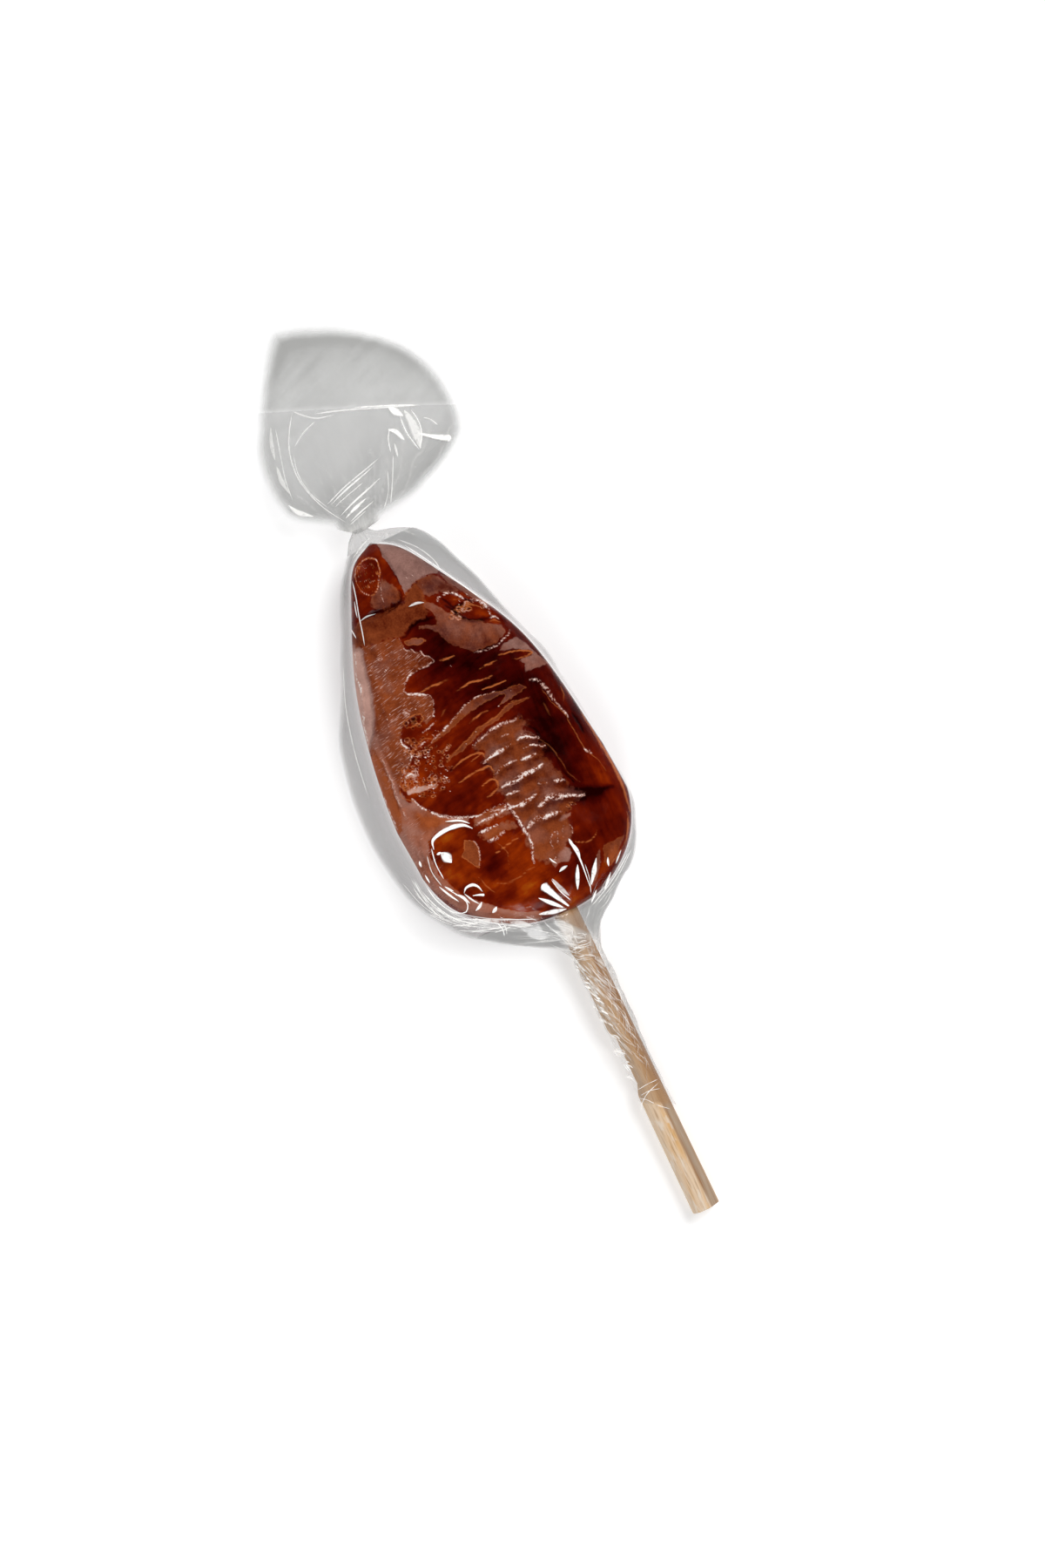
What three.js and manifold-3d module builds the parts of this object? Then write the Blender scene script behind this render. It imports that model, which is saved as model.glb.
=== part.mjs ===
// A hard caramel lollipop on a wooden stick, wrapped in one piece of clear film, lying on its back.
// Millimetres, +Z up, +Y from the stick's free end towards the film's tail, +X to the right seen from above.
// The sweet is drawn with Y = 0 where the stick enters it and X = 0 on the stick's axis there.
// The finished group is then moved so that the origin is under the middle of the whole object.
import * as THREE from "three";
import { mergeVertices } from "three/addons/utils/BufferGeometryUtils.js";
import Module from "manifold-3d";

// Driving dimensions
const CANDY_LENGTH = 72.5;
const CANDY_WIDTH = 38.4;
const CANDY_THICKNESS = 14;
const STICK_DIAMETER = 5;
const STICK_TOP_DIAMETER = 4.3;
const STICK_SHOWN = 57;
const STICK_SUNK = 9;
const STICK_YAW_DEG = 1.2;
const LEAN_DEG = 3;
const FIT_GAP = 0.3;
const FILM_WALL = 0.3;
const FILM_GAP = 0.55;
const FILM_SIDE_SLACK = 2.5;
const FILM_TIP_SLACK = 1.3;
const SLEEVE_START = 8;
const SLEEVE_END = 38;
const TAIL_LENGTH = 38.5;
const TAIL_WIDTH = 33;
const TAIL_THICKNESS = 0.8;
const NECK_LENGTH = 2.4;
const NECK_RADIUS = 1.05;

// Fineness of the faceted solids
const CANDY_SIDES = 42;
const CANDY_TOP_SIDES = 29;
const CANDY_RINGS = 80;
const CANDY_MIDDLE_BIAS = 0.4;
const FILM_SIDES = 34;
const TAIL_RINGS = 15;
const BAG_RINGS = 21;
const BAG_END_BIAS = -0.5;
const CONE_RINGS = 4;
const SLEEVE_RINGS = 15;
const STICK_SIDES = 14;
const STICK_RINGS = 8;
const MERGE_DISTANCE = 1e-4;

const { smoothstep, clamp, lerp, degToRad } = THREE.MathUtils;
const FULL_TURN = 2 * Math.PI;
const LEAN = Math.tan(degToRad(LEAN_DEG));
const YAW = Math.tan(degToRad(STICK_YAW_DEG));
const CANDY_HALF = CANDY_WIDTH / 2;
const CANDY_DEEP = CANDY_THICKNESS / 2;
const STICK_RADIUS = STICK_DIAMETER / 2;
const STICK_TOP_RADIUS = STICK_TOP_DIAMETER / 2;
const STICK_LENGTH = STICK_SHOWN + STICK_SUNK;
const FILM_OFFSET = FILM_GAP + FILM_WALL;
const TAIL_START = CANDY_LENGTH + NECK_LENGTH;

// The whole sweet leans, so that the stick's free end just clears the table.
const STICK_CLEAR = 0.05;
const AXIS_AT_BASE = STICK_RADIUS + STICK_CLEAR + STICK_SHOWN * LEAN;
const axisHeight = (y) => AXIS_AT_BASE + y * LEAN;
const stickAside = (y) => -y * YAW;
const stickRadius = (y) => lerp(STICK_RADIUS, STICK_TOP_RADIUS, (y + STICK_SHOWN) / STICK_LENGTH);

// Tools for shapes

// A point on a flattened ring: angle 0 is the left side, a quarter turn is the top.
const ROUND = 2;
function ringPoint({ half, y, middle, deep, height, squareness = ROUND }, angle) {
  const power = 2 / squareness;
  const across = -Math.cos(angle);
  const up = Math.sin(angle);
  return new THREE.Vector3(
    middle + half * Math.sign(across) * Math.abs(across) ** power,
    y,
    height + deep * Math.sign(up) * Math.abs(up) ** power,
  );
}

// The angle at which a squared ring reaches a share of its half width, on its upper side.
const angleAcross = (share, squareness) =>
  Math.acos(-Math.sign(share) * Math.abs(share) ** (squareness / 2));

// Shares from 0 to 1 crowded towards the middle, or towards both ends for a negative bias.
const crowded = (share, bias) =>
  clamp(share + (bias * Math.sin(FULL_TURN * share)) / FULL_TURN, 0, 1);

// A window that is 1 between low and high and fades over the given width.
const between = (v, low, high, fade) =>
  smoothstep(v, low - fade, low + fade) * (1 - smoothstep(v, high - fade, high + fade));

// A soft-edged oval: 1 inside, 0 outside, with its first reach turned from X by degrees.
function oval(x, y, { middle, reach, turn = 0, edge = 0.35 }) {
  const angle = degToRad(turn);
  const dx = x - middle[0];
  const dy = y - middle[1];
  const along = (dx * Math.cos(angle) + dy * Math.sin(angle)) / reach[0];
  const across = (dy * Math.cos(angle) - dx * Math.sin(angle)) / reach[1];
  return 1 - smoothstep(Math.hypot(along, across), 1 - edge, 1 + edge);
}

// The same geometry with only positions and shared vertices.
function merged(geometry) {
  const bare = geometry.clone();
  bare.deleteAttribute("normal");
  bare.deleteAttribute("uv");
  return mergeVertices(bare, MERGE_DISTANCE);
}

// A closed skin over rings, from a sphere's grid: pointAt(side, ring) places each vertex.
function skin(sides, rings, pointAt) {
  const geometry = new THREE.SphereGeometry(1, sides, rings);
  const { position, uv } = geometry.attributes;
  for (let i = 0; i < position.count; i++) {
    const side = Math.round(uv.getX(i) * sides) % sides;
    const ring = Math.round((1 - uv.getY(i)) * rings);
    const p = pointAt(side, ring);
    position.setXYZ(i, p.x, p.y, p.z);
  }
  return merged(geometry);
}

// A smooth outline through stations of [share of length, share of half width, middle across X].
const outline = (stations, half, lengthAt) =>
  new THREE.CatmullRomCurve3(
    stations.map(([along, wide, middle]) => new THREE.Vector3(half * wide, lengthAt(along), middle)),
    false,
    "centripetal",
  );

// The sweet's outline, from tip to base
const candyOutline = outline(
  [
    [1.0, 0.0, -5.0],
    [0.965, 0.24, -4.8],
    [0.865, 0.47, -3.9],
    [0.66, 0.8, -2.75],
    [0.38, 0.99, -2.1],
    [0.215, 1.0, -0.9],
    [0.103, 0.82, -1.0],
    [0.02, 0.38, -0.2],
    [0.0, 0.0, 0.0],
  ],
  CANDY_HALF,
  (along) => CANDY_LENGTH * along,
);

// One cross-section of the sweet, which soon reaches its full thickness in from the edge.
const CANDY_SWELL = 2.4;
function candySection(share) {
  const { x, y, z } = candyOutline.getPointAt(share);
  const half = clamp(x, 0, CANDY_HALF);
  const deep = CANDY_DEEP * (1 - (1 - half / CANDY_HALF) ** CANDY_SWELL);
  return { half, y, middle: z, deep };
}

// Relief of the sweet's upper face

// The pulled ribs, arcs that cross the middle of the face.
const RIBS = { depth: 0.55, pitch: 2.4, bow: 2.6, bowAt: 4, bowReach: 12 };
const RIB_FIELD = { left: -7.5, right: 8.5, sideFade: 1.6, low: 15.5, high: 50, endFade: 2 };
function ribs(x, y) {
  const { left, right, sideFade, low, high, endFade } = RIB_FIELD;
  const arc = y + RIBS.bow * ((x - RIBS.bowAt) / RIBS.bowReach) ** 2;
  const wave = 0.5 + 0.5 * Math.cos((FULL_TURN * arc) / RIBS.pitch);
  return RIBS.depth * wave * between(x, left, right, sideFade) * between(y, low, high, endFade);
}

// The sunk middle of the face, whose left edge bulges outwards once.
const BASIN = { depth: 0.55, right: 14, sideFade: 0.9, low: 15, high: 52, endFade: 2.5 };
const BASIN_LEFT = { edge: -6.5, bulge: 9.5, at: 29.5, reach: 8 };
function basin(x, y) {
  const bulge = BASIN_LEFT.bulge * Math.exp(-(((y - BASIN_LEFT.at) / BASIN_LEFT.reach) ** 2));
  const inside = between(x, BASIN_LEFT.edge - bulge, BASIN.right, BASIN.sideFade);
  return BASIN.depth * inside * between(y, BASIN.low, BASIN.high, BASIN.endFade);
}

// The round lobe at the lower left, which ribs and basin leave standing.
const LOBE = { middle: [-11, 14.5], reach: [8.4, 8.6], edge: 0.12 };

// The long channel beside the right-hand rim, the curled hollow near the upper right edge,
// the ringed oval near the tip and the crease below it.
const HOLLOWS = [
  { depth: 0.75, middle: [9.6, 29], reach: [13.5, 2.7], turn: 96 },
  { depth: 1.0, middle: [6.3, 54.6], reach: [5, 1.5], turn: -47 },
  { depth: 0.55, middle: [-7.6, 66.8], reach: [3.2, 2.5], turn: 80, edge: 0.2 },
  { depth: 0.6, middle: [-8.6, 60.9], reach: [3.6, 0.8], turn: 5 },
];

// Slow lumps all over, from two crossing waves.
const LUMP_DEPTH = 0.16;
const LUMP_WAVES = [
  { across: 0.55, along: 0.31, phase: 0 },
  { across: -0.42, along: 0.73, phase: 1.3 },
];
const lump = (x, y, { across, along, phase }) =>
  LUMP_DEPTH * (1 + Math.sin(across * x + along * y + phase));

const total = (values) => values.reduce((sum, value) => sum + value, 0);

// How far the face lies below the film that bridges its high places.
function reliefDepth(x, y) {
  const beside = 1 - oval(x, y, LOBE);
  const hollows = total(HOLLOWS.map((hollow) => hollow.depth * oval(x, y, hollow)));
  const lumps = total(LUMP_WAVES.map((wave) => lump(x, y, wave)));
  return beside * (ribs(x, y) + basin(x, y)) + hollows + lumps;
}

// The sweet's envelope at a section and angle, without relief.
const CANDY_SQUARENESS = 3;
const envelope = (section, angle, grow = 0) =>
  ringPoint(
    {
      ...section,
      half: section.half + grow,
      deep: section.deep + grow,
      height: axisHeight(section.y),
      squareness: CANDY_SQUARENESS,
    },
    angle,
  );

// Most of the sides lie on the shown upper half, nearly evenly across it.
const TOP_EVENNESS = 0.6;
function candyAngle(side) {
  if (side >= CANDY_TOP_SIDES) {
    const under = (side - CANDY_TOP_SIDES) / (CANDY_SIDES - CANDY_TOP_SIDES);
    return Math.PI * (1 + under);
  }
  const over = side / CANDY_TOP_SIDES;
  const even = 2 * over - 1;
  const rounded = -Math.cos(Math.PI * over);
  return angleAcross(lerp(rounded, even, TOP_EVENNESS), CANDY_SQUARENESS);
}

// The relief fades out over the rounded edge, and the belly is flat where the film lies under it.
const EDGE_FADE = 0.45;
function candyPoint(side, ring) {
  const section = candySection(crowded(ring / CANDY_RINGS, CANDY_MIDDLE_BIAS));
  const angle = candyAngle(side);
  const p = envelope(section, angle);
  const facesUp = smoothstep(Math.sin(angle), 0, EDGE_FADE);
  const room = section.deep / CANDY_DEEP;
  p.z -= facesUp * room * reliefDepth(p.x, p.y);
  p.z = Math.max(p.z, FILM_OFFSET);
  return p;
}

// The film's tail, a flattened fan from its corner down to the neck
const tailOutline = outline(
  [
    [0.0, 0.0, -5.5],
    [0.05, 0.12, -3.7],
    [0.14, 0.4, -1.5],
    [0.27, 0.67, 0.0],
    [0.4, 0.89, 0.85],
    [0.53, 0.965, 0.6],
    [0.66, 1.0, 0.4],
    [0.755, 0.94, 0.1],
    [0.8, 0.77, -1.75],
    [0.88, 0.53, -2.4],
    [0.95, 0.28, -4.0],
    [1.0, 0.064, -5.8],
  ],
  TAIL_WIDTH / 2,
  (along) => TAIL_START + TAIL_LENGTH * (1 - along),
);

// Height of the tail's middle surface: it falls from the neck towards the table, with waves and gathers.
const TAIL_REST = 2.5;
const TAIL_FALL = 1.7;
const GATHERS = { count: 11, height: 0.75, x: -5.8, before: 6, from: 0.02, full: 0.2 };
const TAIL_WAVE = { height: 0.8, across: 0.2, phase: 0.6, from: 0.1, full: 0.5 };
function tailHeight(x, y) {
  const out = clamp((y - TAIL_START) / TAIL_LENGTH, 0, 1);
  const fall = lerp(axisHeight(CANDY_LENGTH), TAIL_REST, 1 - (1 - out) ** TAIL_FALL);
  const bearing = Math.atan2(x - GATHERS.x, y - TAIL_START + GATHERS.before);
  const fan = Math.cos(GATHERS.count * bearing) * (1 - out);
  const gathers = GATHERS.height * fan * smoothstep(out, GATHERS.from, GATHERS.full);
  const swing = Math.sin(TAIL_WAVE.across * x + TAIL_WAVE.phase);
  const wave = TAIL_WAVE.height * swing * smoothstep(out, TAIL_WAVE.from, TAIL_WAVE.full);
  return fall + gathers + wave;
}

// Two layers lie on each other up to the upper layer's slanting cut edge, and one beyond it.
const CUT_EDGE = { y: 93.8, slope: -0.4 };
const ONE_LAYER = 0.7;
const tailThickness = (y, middle) =>
  TAIL_THICKNESS * (y < CUT_EDGE.y + CUT_EDGE.slope * middle ? 1 : ONE_LAYER);

const NECK_FADE = 9;
const TAIL_LOWEST = 0.2;
function tailRing(ring) {
  const { x, y, z } = tailOutline.getPoint(ring / TAIL_RINGS);
  const half = Math.max(x, 0);
  const neck = smoothstep(y, TAIL_START + NECK_FADE, TAIL_START);
  const deep = half > 0 ? lerp(tailThickness(y, z) / 2, NECK_RADIUS, neck) : 0;
  return (angle) => {
    const p = ringPoint({ half, y, middle: z, deep, height: 0 }, angle);
    p.z = Math.max(p.z + tailHeight(p.x, y), TAIL_LOWEST);
    return p;
  };
}

// The film's bag hugs the sweet's high places, and hangs slack down its left side and beside its tip.
const BAG_TIP = 0.012;
const BAG_MOUTH = 0.885;
const SLACK_FROM = 0.35;
const SIDE_SLACK = { low: 12, high: 62, fade: 9 };
const TIP_SLACK = { low: 57, high: 70, fade: 4 };
function bagRing(share, grow, lowest) {
  const section = candySection(share);
  const { y } = section;
  const left = FILM_SIDE_SLACK * between(y, SIDE_SLACK.low, SIDE_SLACK.high, SIDE_SLACK.fade);
  const right = FILM_TIP_SLACK * between(y, TIP_SLACK.low, TIP_SLACK.high, TIP_SLACK.fade);
  return (angle) => {
    const p = envelope(section, angle, grow);
    p.x -= left * smoothstep(Math.cos(angle), SLACK_FROM, 1);
    p.x += right * smoothstep(-Math.cos(angle), SLACK_FROM, 1);
    p.z = Math.max(p.z, lowest);
    return p;
  };
}

// From the bag's mouth the film is gathered on to the stick in pleats.
const PLEATS = { count: 9, height: 0.4, twist: 2 };
const CONE_CLOSING = 1.25;
function coneRing(step, inner) {
  const share = step / (CONE_RINGS + 1);
  const mouth = candySection(BAG_MOUTH);
  const y = lerp(mouth.y, -SLEEVE_START, share);
  const open = (1 - share) ** CONE_CLOSING;
  const bore = stickRadius(y) + FIT_GAP;
  const half = lerp(bore, mouth.half + FILM_GAP, open);
  const deep = lerp(bore, mouth.deep + FILM_GAP, open);
  const middle = lerp(stickAside(y), mouth.middle, open);
  return (angle) => {
    const pleat = 0.5 + 0.5 * Math.cos(PLEATS.count * angle + PLEATS.twist * share);
    const ridge = PLEATS.height * pleat * Math.sin(Math.PI * share);
    const swell = inner ? 0 : FILM_WALL + ridge;
    const ring = { half: half + swell, deep: deep + swell, y, middle, height: axisHeight(y) };
    const p = ringPoint(ring, angle);
    p.z = Math.max(p.z, inner ? FILM_WALL : 0);
    return p;
  };
}

// Round the stick the film is twisted into a sleeve with slanting ridges.
const TWIST = { ridges: 3, pitch: 21, height: 0.25 };
function sleeveRing(y, inner) {
  const bore = stickRadius(y) + FIT_GAP;
  const turn = (FULL_TURN * y) / TWIST.pitch;
  return (angle) => {
    const ridge = 0.5 + 0.5 * Math.cos(TWIST.ridges * (angle + turn));
    const r = inner ? bore : bore + FILM_WALL + TWIST.height * ridge;
    const ring = { half: r, deep: r, y, middle: stickAside(y), height: axisHeight(y) };
    return ringPoint(ring, angle);
  };
}

const steps = (count, make) => Array.from({ length: count }, (_, i) => make(i));

// All rings of the film, from the tail's corner over its outside and back inside to the bag's tip.
function filmRings() {
  const tip = candySection(0);
  const innerTip = new THREE.Vector3(tip.middle, tip.y + FILM_GAP, axisHeight(tip.y));
  const bagShare = (i) => lerp(BAG_TIP, BAG_MOUTH, crowded(i / (BAG_RINGS - 1), BAG_END_BIAS));
  const sleeveY = (i) => lerp(-SLEEVE_START, -SLEEVE_END, i / (SLEEVE_RINGS - 1));
  return [
    ...steps(TAIL_RINGS + 1, tailRing),
    ...steps(BAG_RINGS, (i) => bagRing(bagShare(i), FILM_OFFSET, 0)),
    ...steps(CONE_RINGS, (i) => coneRing(i + 1, false)),
    ...steps(SLEEVE_RINGS, (i) => sleeveRing(sleeveY(i), false)),
    sleeveRing(-SLEEVE_END, true),
    sleeveRing(-SLEEVE_START, true),
    ...steps(CONE_RINGS, (i) => coneRing(CONE_RINGS - i, true)),
    ...steps(BAG_RINGS, (i) => bagRing(bagShare(BAG_RINGS - 1 - i), FILM_GAP, FILM_WALL)),
    () => innerTip,
  ];
}

function filmGeometry() {
  const rings = filmRings();
  return skin(FILM_SIDES, rings.length - 1, (side, ring) =>
    rings[ring]((FULL_TURN * side) / FILM_SIDES),
  );
}

// The stick's axis runs along Y, leaning down and a little to the right towards its free end.
function alongStick(geometry, middleY) {
  const upright = new THREE.Vector3(0, 1, 0);
  const direction = new THREE.Vector3(-YAW, 1, LEAN).normalize();
  const turn = new THREE.Quaternion().setFromUnitVectors(upright, direction);
  return geometry
    .clone()
    .applyQuaternion(turn)
    .translate(stickAside(middleY), middleY, axisHeight(middleY));
}

// The wooden stick: a dowel of split wood, so its sides are uneven and one side is flat.
const STICK_FLAT = { angle: 0.6, depth: 0.3, from: 0.6 };
const STICK_UNEVEN = { depth: 0.12, sides: 3, along: 0.11 };
function stickGeometry() {
  const dowel = new THREE.CylinderGeometry(
    STICK_TOP_RADIUS,
    STICK_RADIUS,
    STICK_LENGTH,
    STICK_SIDES,
    STICK_RINGS,
  );
  const { position } = dowel.attributes;
  for (let i = 0; i < position.count; i++) {
    const x = position.getX(i);
    const y = position.getY(i);
    const z = position.getZ(i);
    const angle = Math.atan2(z, x);
    const facing = Math.cos(angle - STICK_FLAT.angle);
    const flat = STICK_FLAT.depth * smoothstep(facing, STICK_FLAT.from, 1);
    const wander = Math.sin(STICK_UNEVEN.sides * angle + STICK_UNEVEN.along * y);
    const keep = 1 - (flat + STICK_UNEVEN.depth * (1 + wander)) / STICK_RADIUS;
    position.setX(i, x * keep);
    position.setZ(i, z * keep);
  }
  return alongStick(dowel, (STICK_SUNK - STICK_SHOWN) / 2);
}

// The sweet, with the socket that the stick is set in
const wasm = await Module();
wasm.setup();

function toSolid(geometry) {
  const { index, attributes } = merged(geometry);
  return new wasm.Manifold(
    new wasm.Mesh({
      numProp: 3,
      vertProperties: new Float32Array(attributes.position.array),
      triVerts: new Uint32Array(index.array),
    }),
  );
}

function toGeometry(solid) {
  const mesh = solid.getMesh();
  const geometry = new THREE.BufferGeometry();
  geometry.setAttribute("position", new THREE.BufferAttribute(mesh.vertProperties, 3));
  geometry.setIndex(new THREE.BufferAttribute(mesh.triVerts, 1));
  geometry.computeVertexNormals();
  return geometry;
}

const PLUG_BELOW = 6;
function candyGeometry() {
  const body = skin(CANDY_SIDES, CANDY_RINGS, candyPoint);
  const bore = stickRadius(0) + FIT_GAP;
  const depth = STICK_SUNK + FIT_GAP;
  const plug = new THREE.CylinderGeometry(bore, bore, depth + PLUG_BELOW, STICK_SIDES);
  const socket = alongStick(plug, (depth - PLUG_BELOW) / 2);
  return toGeometry(toSolid(body).subtract(toSolid(socket)));
}

// Materials
const caramel = new THREE.MeshStandardMaterial({ color: 0x6e2a08, roughness: 0.25, metalness: 0 });
const birch = new THREE.MeshStandardMaterial({ color: 0xd9b98a, roughness: 0.75, metalness: 0 });
const clearFilm = new THREE.MeshStandardMaterial({
  color: 0xdcdcd8,
  roughness: 0.12,
  metalness: 0,
  transparent: true,
  opacity: 0.3,
});

// Assembly
function part(name, geometry, material) {
  const mesh = new THREE.Mesh(geometry, material);
  mesh.name = name;
  return mesh;
}

const sweet = new THREE.Group();
sweet.add(part("candy", candyGeometry(), caramel));
sweet.add(part("stick", stickGeometry(), birch));
sweet.add(part("film", filmGeometry(), clearFilm));

const box = new THREE.Box3().setFromObject(sweet);
const boxMiddle = box.getCenter(new THREE.Vector3());
sweet.position.set(-boxMiddle.x, -boxMiddle.y, -box.min.z);

const lollipop = new THREE.Group();
lollipop.add(sweet);

export default lollipop;
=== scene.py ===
"""Looks of a caramel lollipop wrapped in clear film: caramel, stick, film, folds and a plain studio.

Sizes are millimetres in the frame's axes: Z up from the table, Y along the sweet towards the film's tail,
X to the right seen from above, with the origin under the middle of the whole. Meshes are stored in metres.
"""
import itertools
import logging
import math
from collections.abc import Callable, Iterator, Sequence
from contextlib import contextmanager
from dataclasses import dataclass
from enum import Enum
from functools import partial

import bpy
import numpy as np
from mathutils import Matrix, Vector
from mathutils.bvhtree import BVHTree


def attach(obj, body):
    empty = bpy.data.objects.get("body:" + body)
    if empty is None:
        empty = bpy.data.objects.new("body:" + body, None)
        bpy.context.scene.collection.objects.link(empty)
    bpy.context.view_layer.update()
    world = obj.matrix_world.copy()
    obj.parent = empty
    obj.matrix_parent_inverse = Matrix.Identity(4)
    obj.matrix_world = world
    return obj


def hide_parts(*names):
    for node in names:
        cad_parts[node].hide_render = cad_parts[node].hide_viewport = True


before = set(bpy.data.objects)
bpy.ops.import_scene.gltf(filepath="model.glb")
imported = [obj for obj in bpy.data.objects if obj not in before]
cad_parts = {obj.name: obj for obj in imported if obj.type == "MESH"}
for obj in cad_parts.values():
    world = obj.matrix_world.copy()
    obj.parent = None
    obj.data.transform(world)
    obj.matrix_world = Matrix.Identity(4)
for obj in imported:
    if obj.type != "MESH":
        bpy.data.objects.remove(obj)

LOG = logging.getLogger("lollipop")
Array = np.ndarray
Point = tuple[float, float]
Colour = tuple[float, float, float, float]
Rings = tuple[Array, dict[str, Array]]
Piece = bpy.types.Object
Material = bpy.types.Material
Socket = bpy.types.NodeSocket
MM = 0.001
TURN = 2 * math.pi


# Numbers

def tone(red: float, green: float, blue: float) -> Colour:
    """Linear colour of an 8-bit screen colour.

    Args:
        red: red, from 0 to 255.
        green: green.
        blue: blue.

    Returns:
        The colour, fully opaque.
    """
    parts = [value / 255 for value in (red, green, blue)]
    linear = [p / 12.92 if p <= 0.04045 else ((p + 0.055) / 1.055) ** 2.4 for p in parts]
    return (*linear, 1.0)


def ease(value: Array | float, low: float, high: float) -> Array:
    """Smooth step from 0 at low to 1 at high."""
    share = np.clip((np.asarray(value, dtype=float) - low) / (high - low), 0, 1)
    return share * share * (3 - 2 * share)


def between(value: Array, low: float, high: float, fade: float) -> Array:
    """1 between low and high, fading over the given width at both ends."""
    return ease(value, low - fade, low + fade) * (1 - ease(value, high - fade, high + fade))


def bell(value: Array, width: Array | float = 1.0) -> Array:
    """Smooth hump: 1 at 0, fading over the given width to both sides."""
    return np.exp(-((value / width) ** 2))


def lattice(points: Array, seed: int) -> Array:
    """Smooth noise on a unit lattice.

    Args:
        points: places, one row each.
        seed: which pattern.

    Returns:
        A value from -1 to 1 for each place.
    """
    cell = np.floor(points).astype(np.int64)
    part = points - cell
    soft = part * part * (3 - 2 * part)
    primes = np.array([374761393, 668265263, 2147483647])[: points.shape[1]]
    total = np.zeros(len(points))
    for corner in itertools.product((0, 1), repeat=points.shape[1]):
        key = ((cell + corner) @ primes + seed * 974634777) & 0xFFFFFFFF
        key = ((key ^ (key >> 13)) * 1274126177) & 0xFFFFFFFF
        value = ((key ^ (key >> 16)) & 0xFFFF) / 32767.5 - 1
        total += value * np.prod(np.where(corner, soft, 1 - soft), axis=1)
    return total


def cloud(points: Array, pitch: float | Sequence[float], seed: int, octaves: int = 3) -> Array:
    """Layered smooth noise.

    Args:
        points: places in mm, one row each.
        pitch: size of the largest lumps, in mm.
        seed: which pattern.
        octaves: how many layers, each half the size and strength of the last.

    Returns:
        A value of about -1 to 1 for each place.
    """
    scaled = points / np.asarray(pitch, dtype=float)
    return sum(lattice(scaled * 2**i, seed + i) * 0.5**i for i in range(octaves)) / 1.6


def cloud_on(places: Array, pitch: Sequence[float], seed: int) -> Array:
    """Layered noise on rows and columns of places."""
    return cloud(places.reshape(-1, 3), pitch, seed).reshape(places.shape[:2])


def spline(points: Sequence[Sequence[float]], count: int, closed: bool = False) -> Array:
    """Centripetal curve through points.

    Args:
        points: places the curve passes through.
        count: how many places to return.
        closed: True if the last point runs on to the first.

    Returns:
        The places along the curve, evenly spaced by length.
    """
    p = np.asarray(points, dtype=float)
    if closed:
        p = np.vstack([p[-1], p, p[0], p[1]])
    else:
        p = np.vstack([2 * p[0] - p[1], p, 2 * p[-1] - p[-2]])
    fine = []
    step = np.linspace(0, 1, 40, endpoint=False)[:, None]
    for a, b, c, d in zip(p, p[1:], p[2:], p[3:]):
        gap = [max(np.linalg.norm(v - u) ** 0.5, 1e-6) for u, v in ((a, b), (b, c), (c, d))]
        out = ((b - a) / gap[0] - (c - a) / (gap[0] + gap[1]) + (c - b) / gap[1]) * gap[1]
        into = ((c - b) / gap[1] - (d - b) / (gap[1] + gap[2]) + (d - c) / gap[2]) * gap[1]
        cube = 2 * b - 2 * c + out + into
        square = -3 * b + 3 * c - 2 * out - into
        fine.append(b + out * step + square * step**2 + cube * step**3)
    line = np.vstack([*fine, p[-2][None]])
    run = np.concatenate([[0], np.cumsum(np.linalg.norm(np.diff(line, axis=0), axis=1))])
    at = np.linspace(0, run[-1], count)
    return np.stack([np.interp(at, run, line[:, k]) for k in range(p.shape[1])], axis=1)


def path_distance(x: Array, y: Array, path: Array) -> tuple[Array, Array]:
    """How far places lie from a drawn line.

    Args:
        x: places across.
        y: places along.
        path: points of the line.

    Returns:
        The distance, and the share of the line's length at the nearest point.
    """
    best = np.full(x.shape, 1e9)
    share = np.zeros(x.shape)
    last = len(path) - 1
    for i, ((ax, ay), (bx, by)) in enumerate(zip(path, path[1:])):
        dx, dy = bx - ax, by - ay
        along = np.clip(((x - ax) * dx + (y - ay) * dy) / max(dx * dx + dy * dy, 1e-12), 0, 1)
        far = np.hypot(x - ax - along * dx, y - ay - along * dy)
        nearer = far < best
        best = np.where(nearer, far, best)
        share = np.where(nearer, (i + along) / last, share)
    return best, share


def patch_depth(x: Array, y: Array, outline: Array) -> Array:
    """Distance to a closed outline, above 0 inside it and below 0 outside.

    Args:
        x: places across.
        y: places along.
        outline: its corners.

    Returns:
        The distance of each place.
    """
    ring = np.vstack([outline, outline[:1]])
    far, _ = path_distance(x, y, ring)
    inside = np.zeros(x.shape, dtype=bool)
    for (ax, ay), (bx, by) in zip(ring, ring[1:]):
        if ay != by:
            crosses = (ay > y) != (by > y)
            inside ^= crosses & (x < ax + (y - ay) * (bx - ax) / (by - ay))
    return np.where(inside, far, -far)


def oval(x: Array, y: Array, middle: Point, reach: Point, turn: float = 0.0) -> Array:
    """Distance from an oval's middle, in its own reaches: 1 on its rim.

    Args:
        x: places across.
        y: places along.
        middle: the oval's middle.
        reach: half its length and half its width.
        turn: how far it is turned, in degrees.

    Returns:
        A value for each place.
    """
    angle = math.radians(turn)
    dx, dy = x - middle[0], y - middle[1]
    along = (dx * math.cos(angle) + dy * math.sin(angle)) / reach[0]
    across = (dy * math.cos(angle) - dx * math.sin(angle)) / reach[1]
    return np.hypot(along, across)


# Meshes

def only(piece: Piece) -> None:
    """Selects one piece and nothing else.

    Args:
        piece: the piece.
    """
    bpy.ops.object.select_all(action="DESELECT")
    piece.select_set(True)
    bpy.context.view_layer.objects.active = piece


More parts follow.
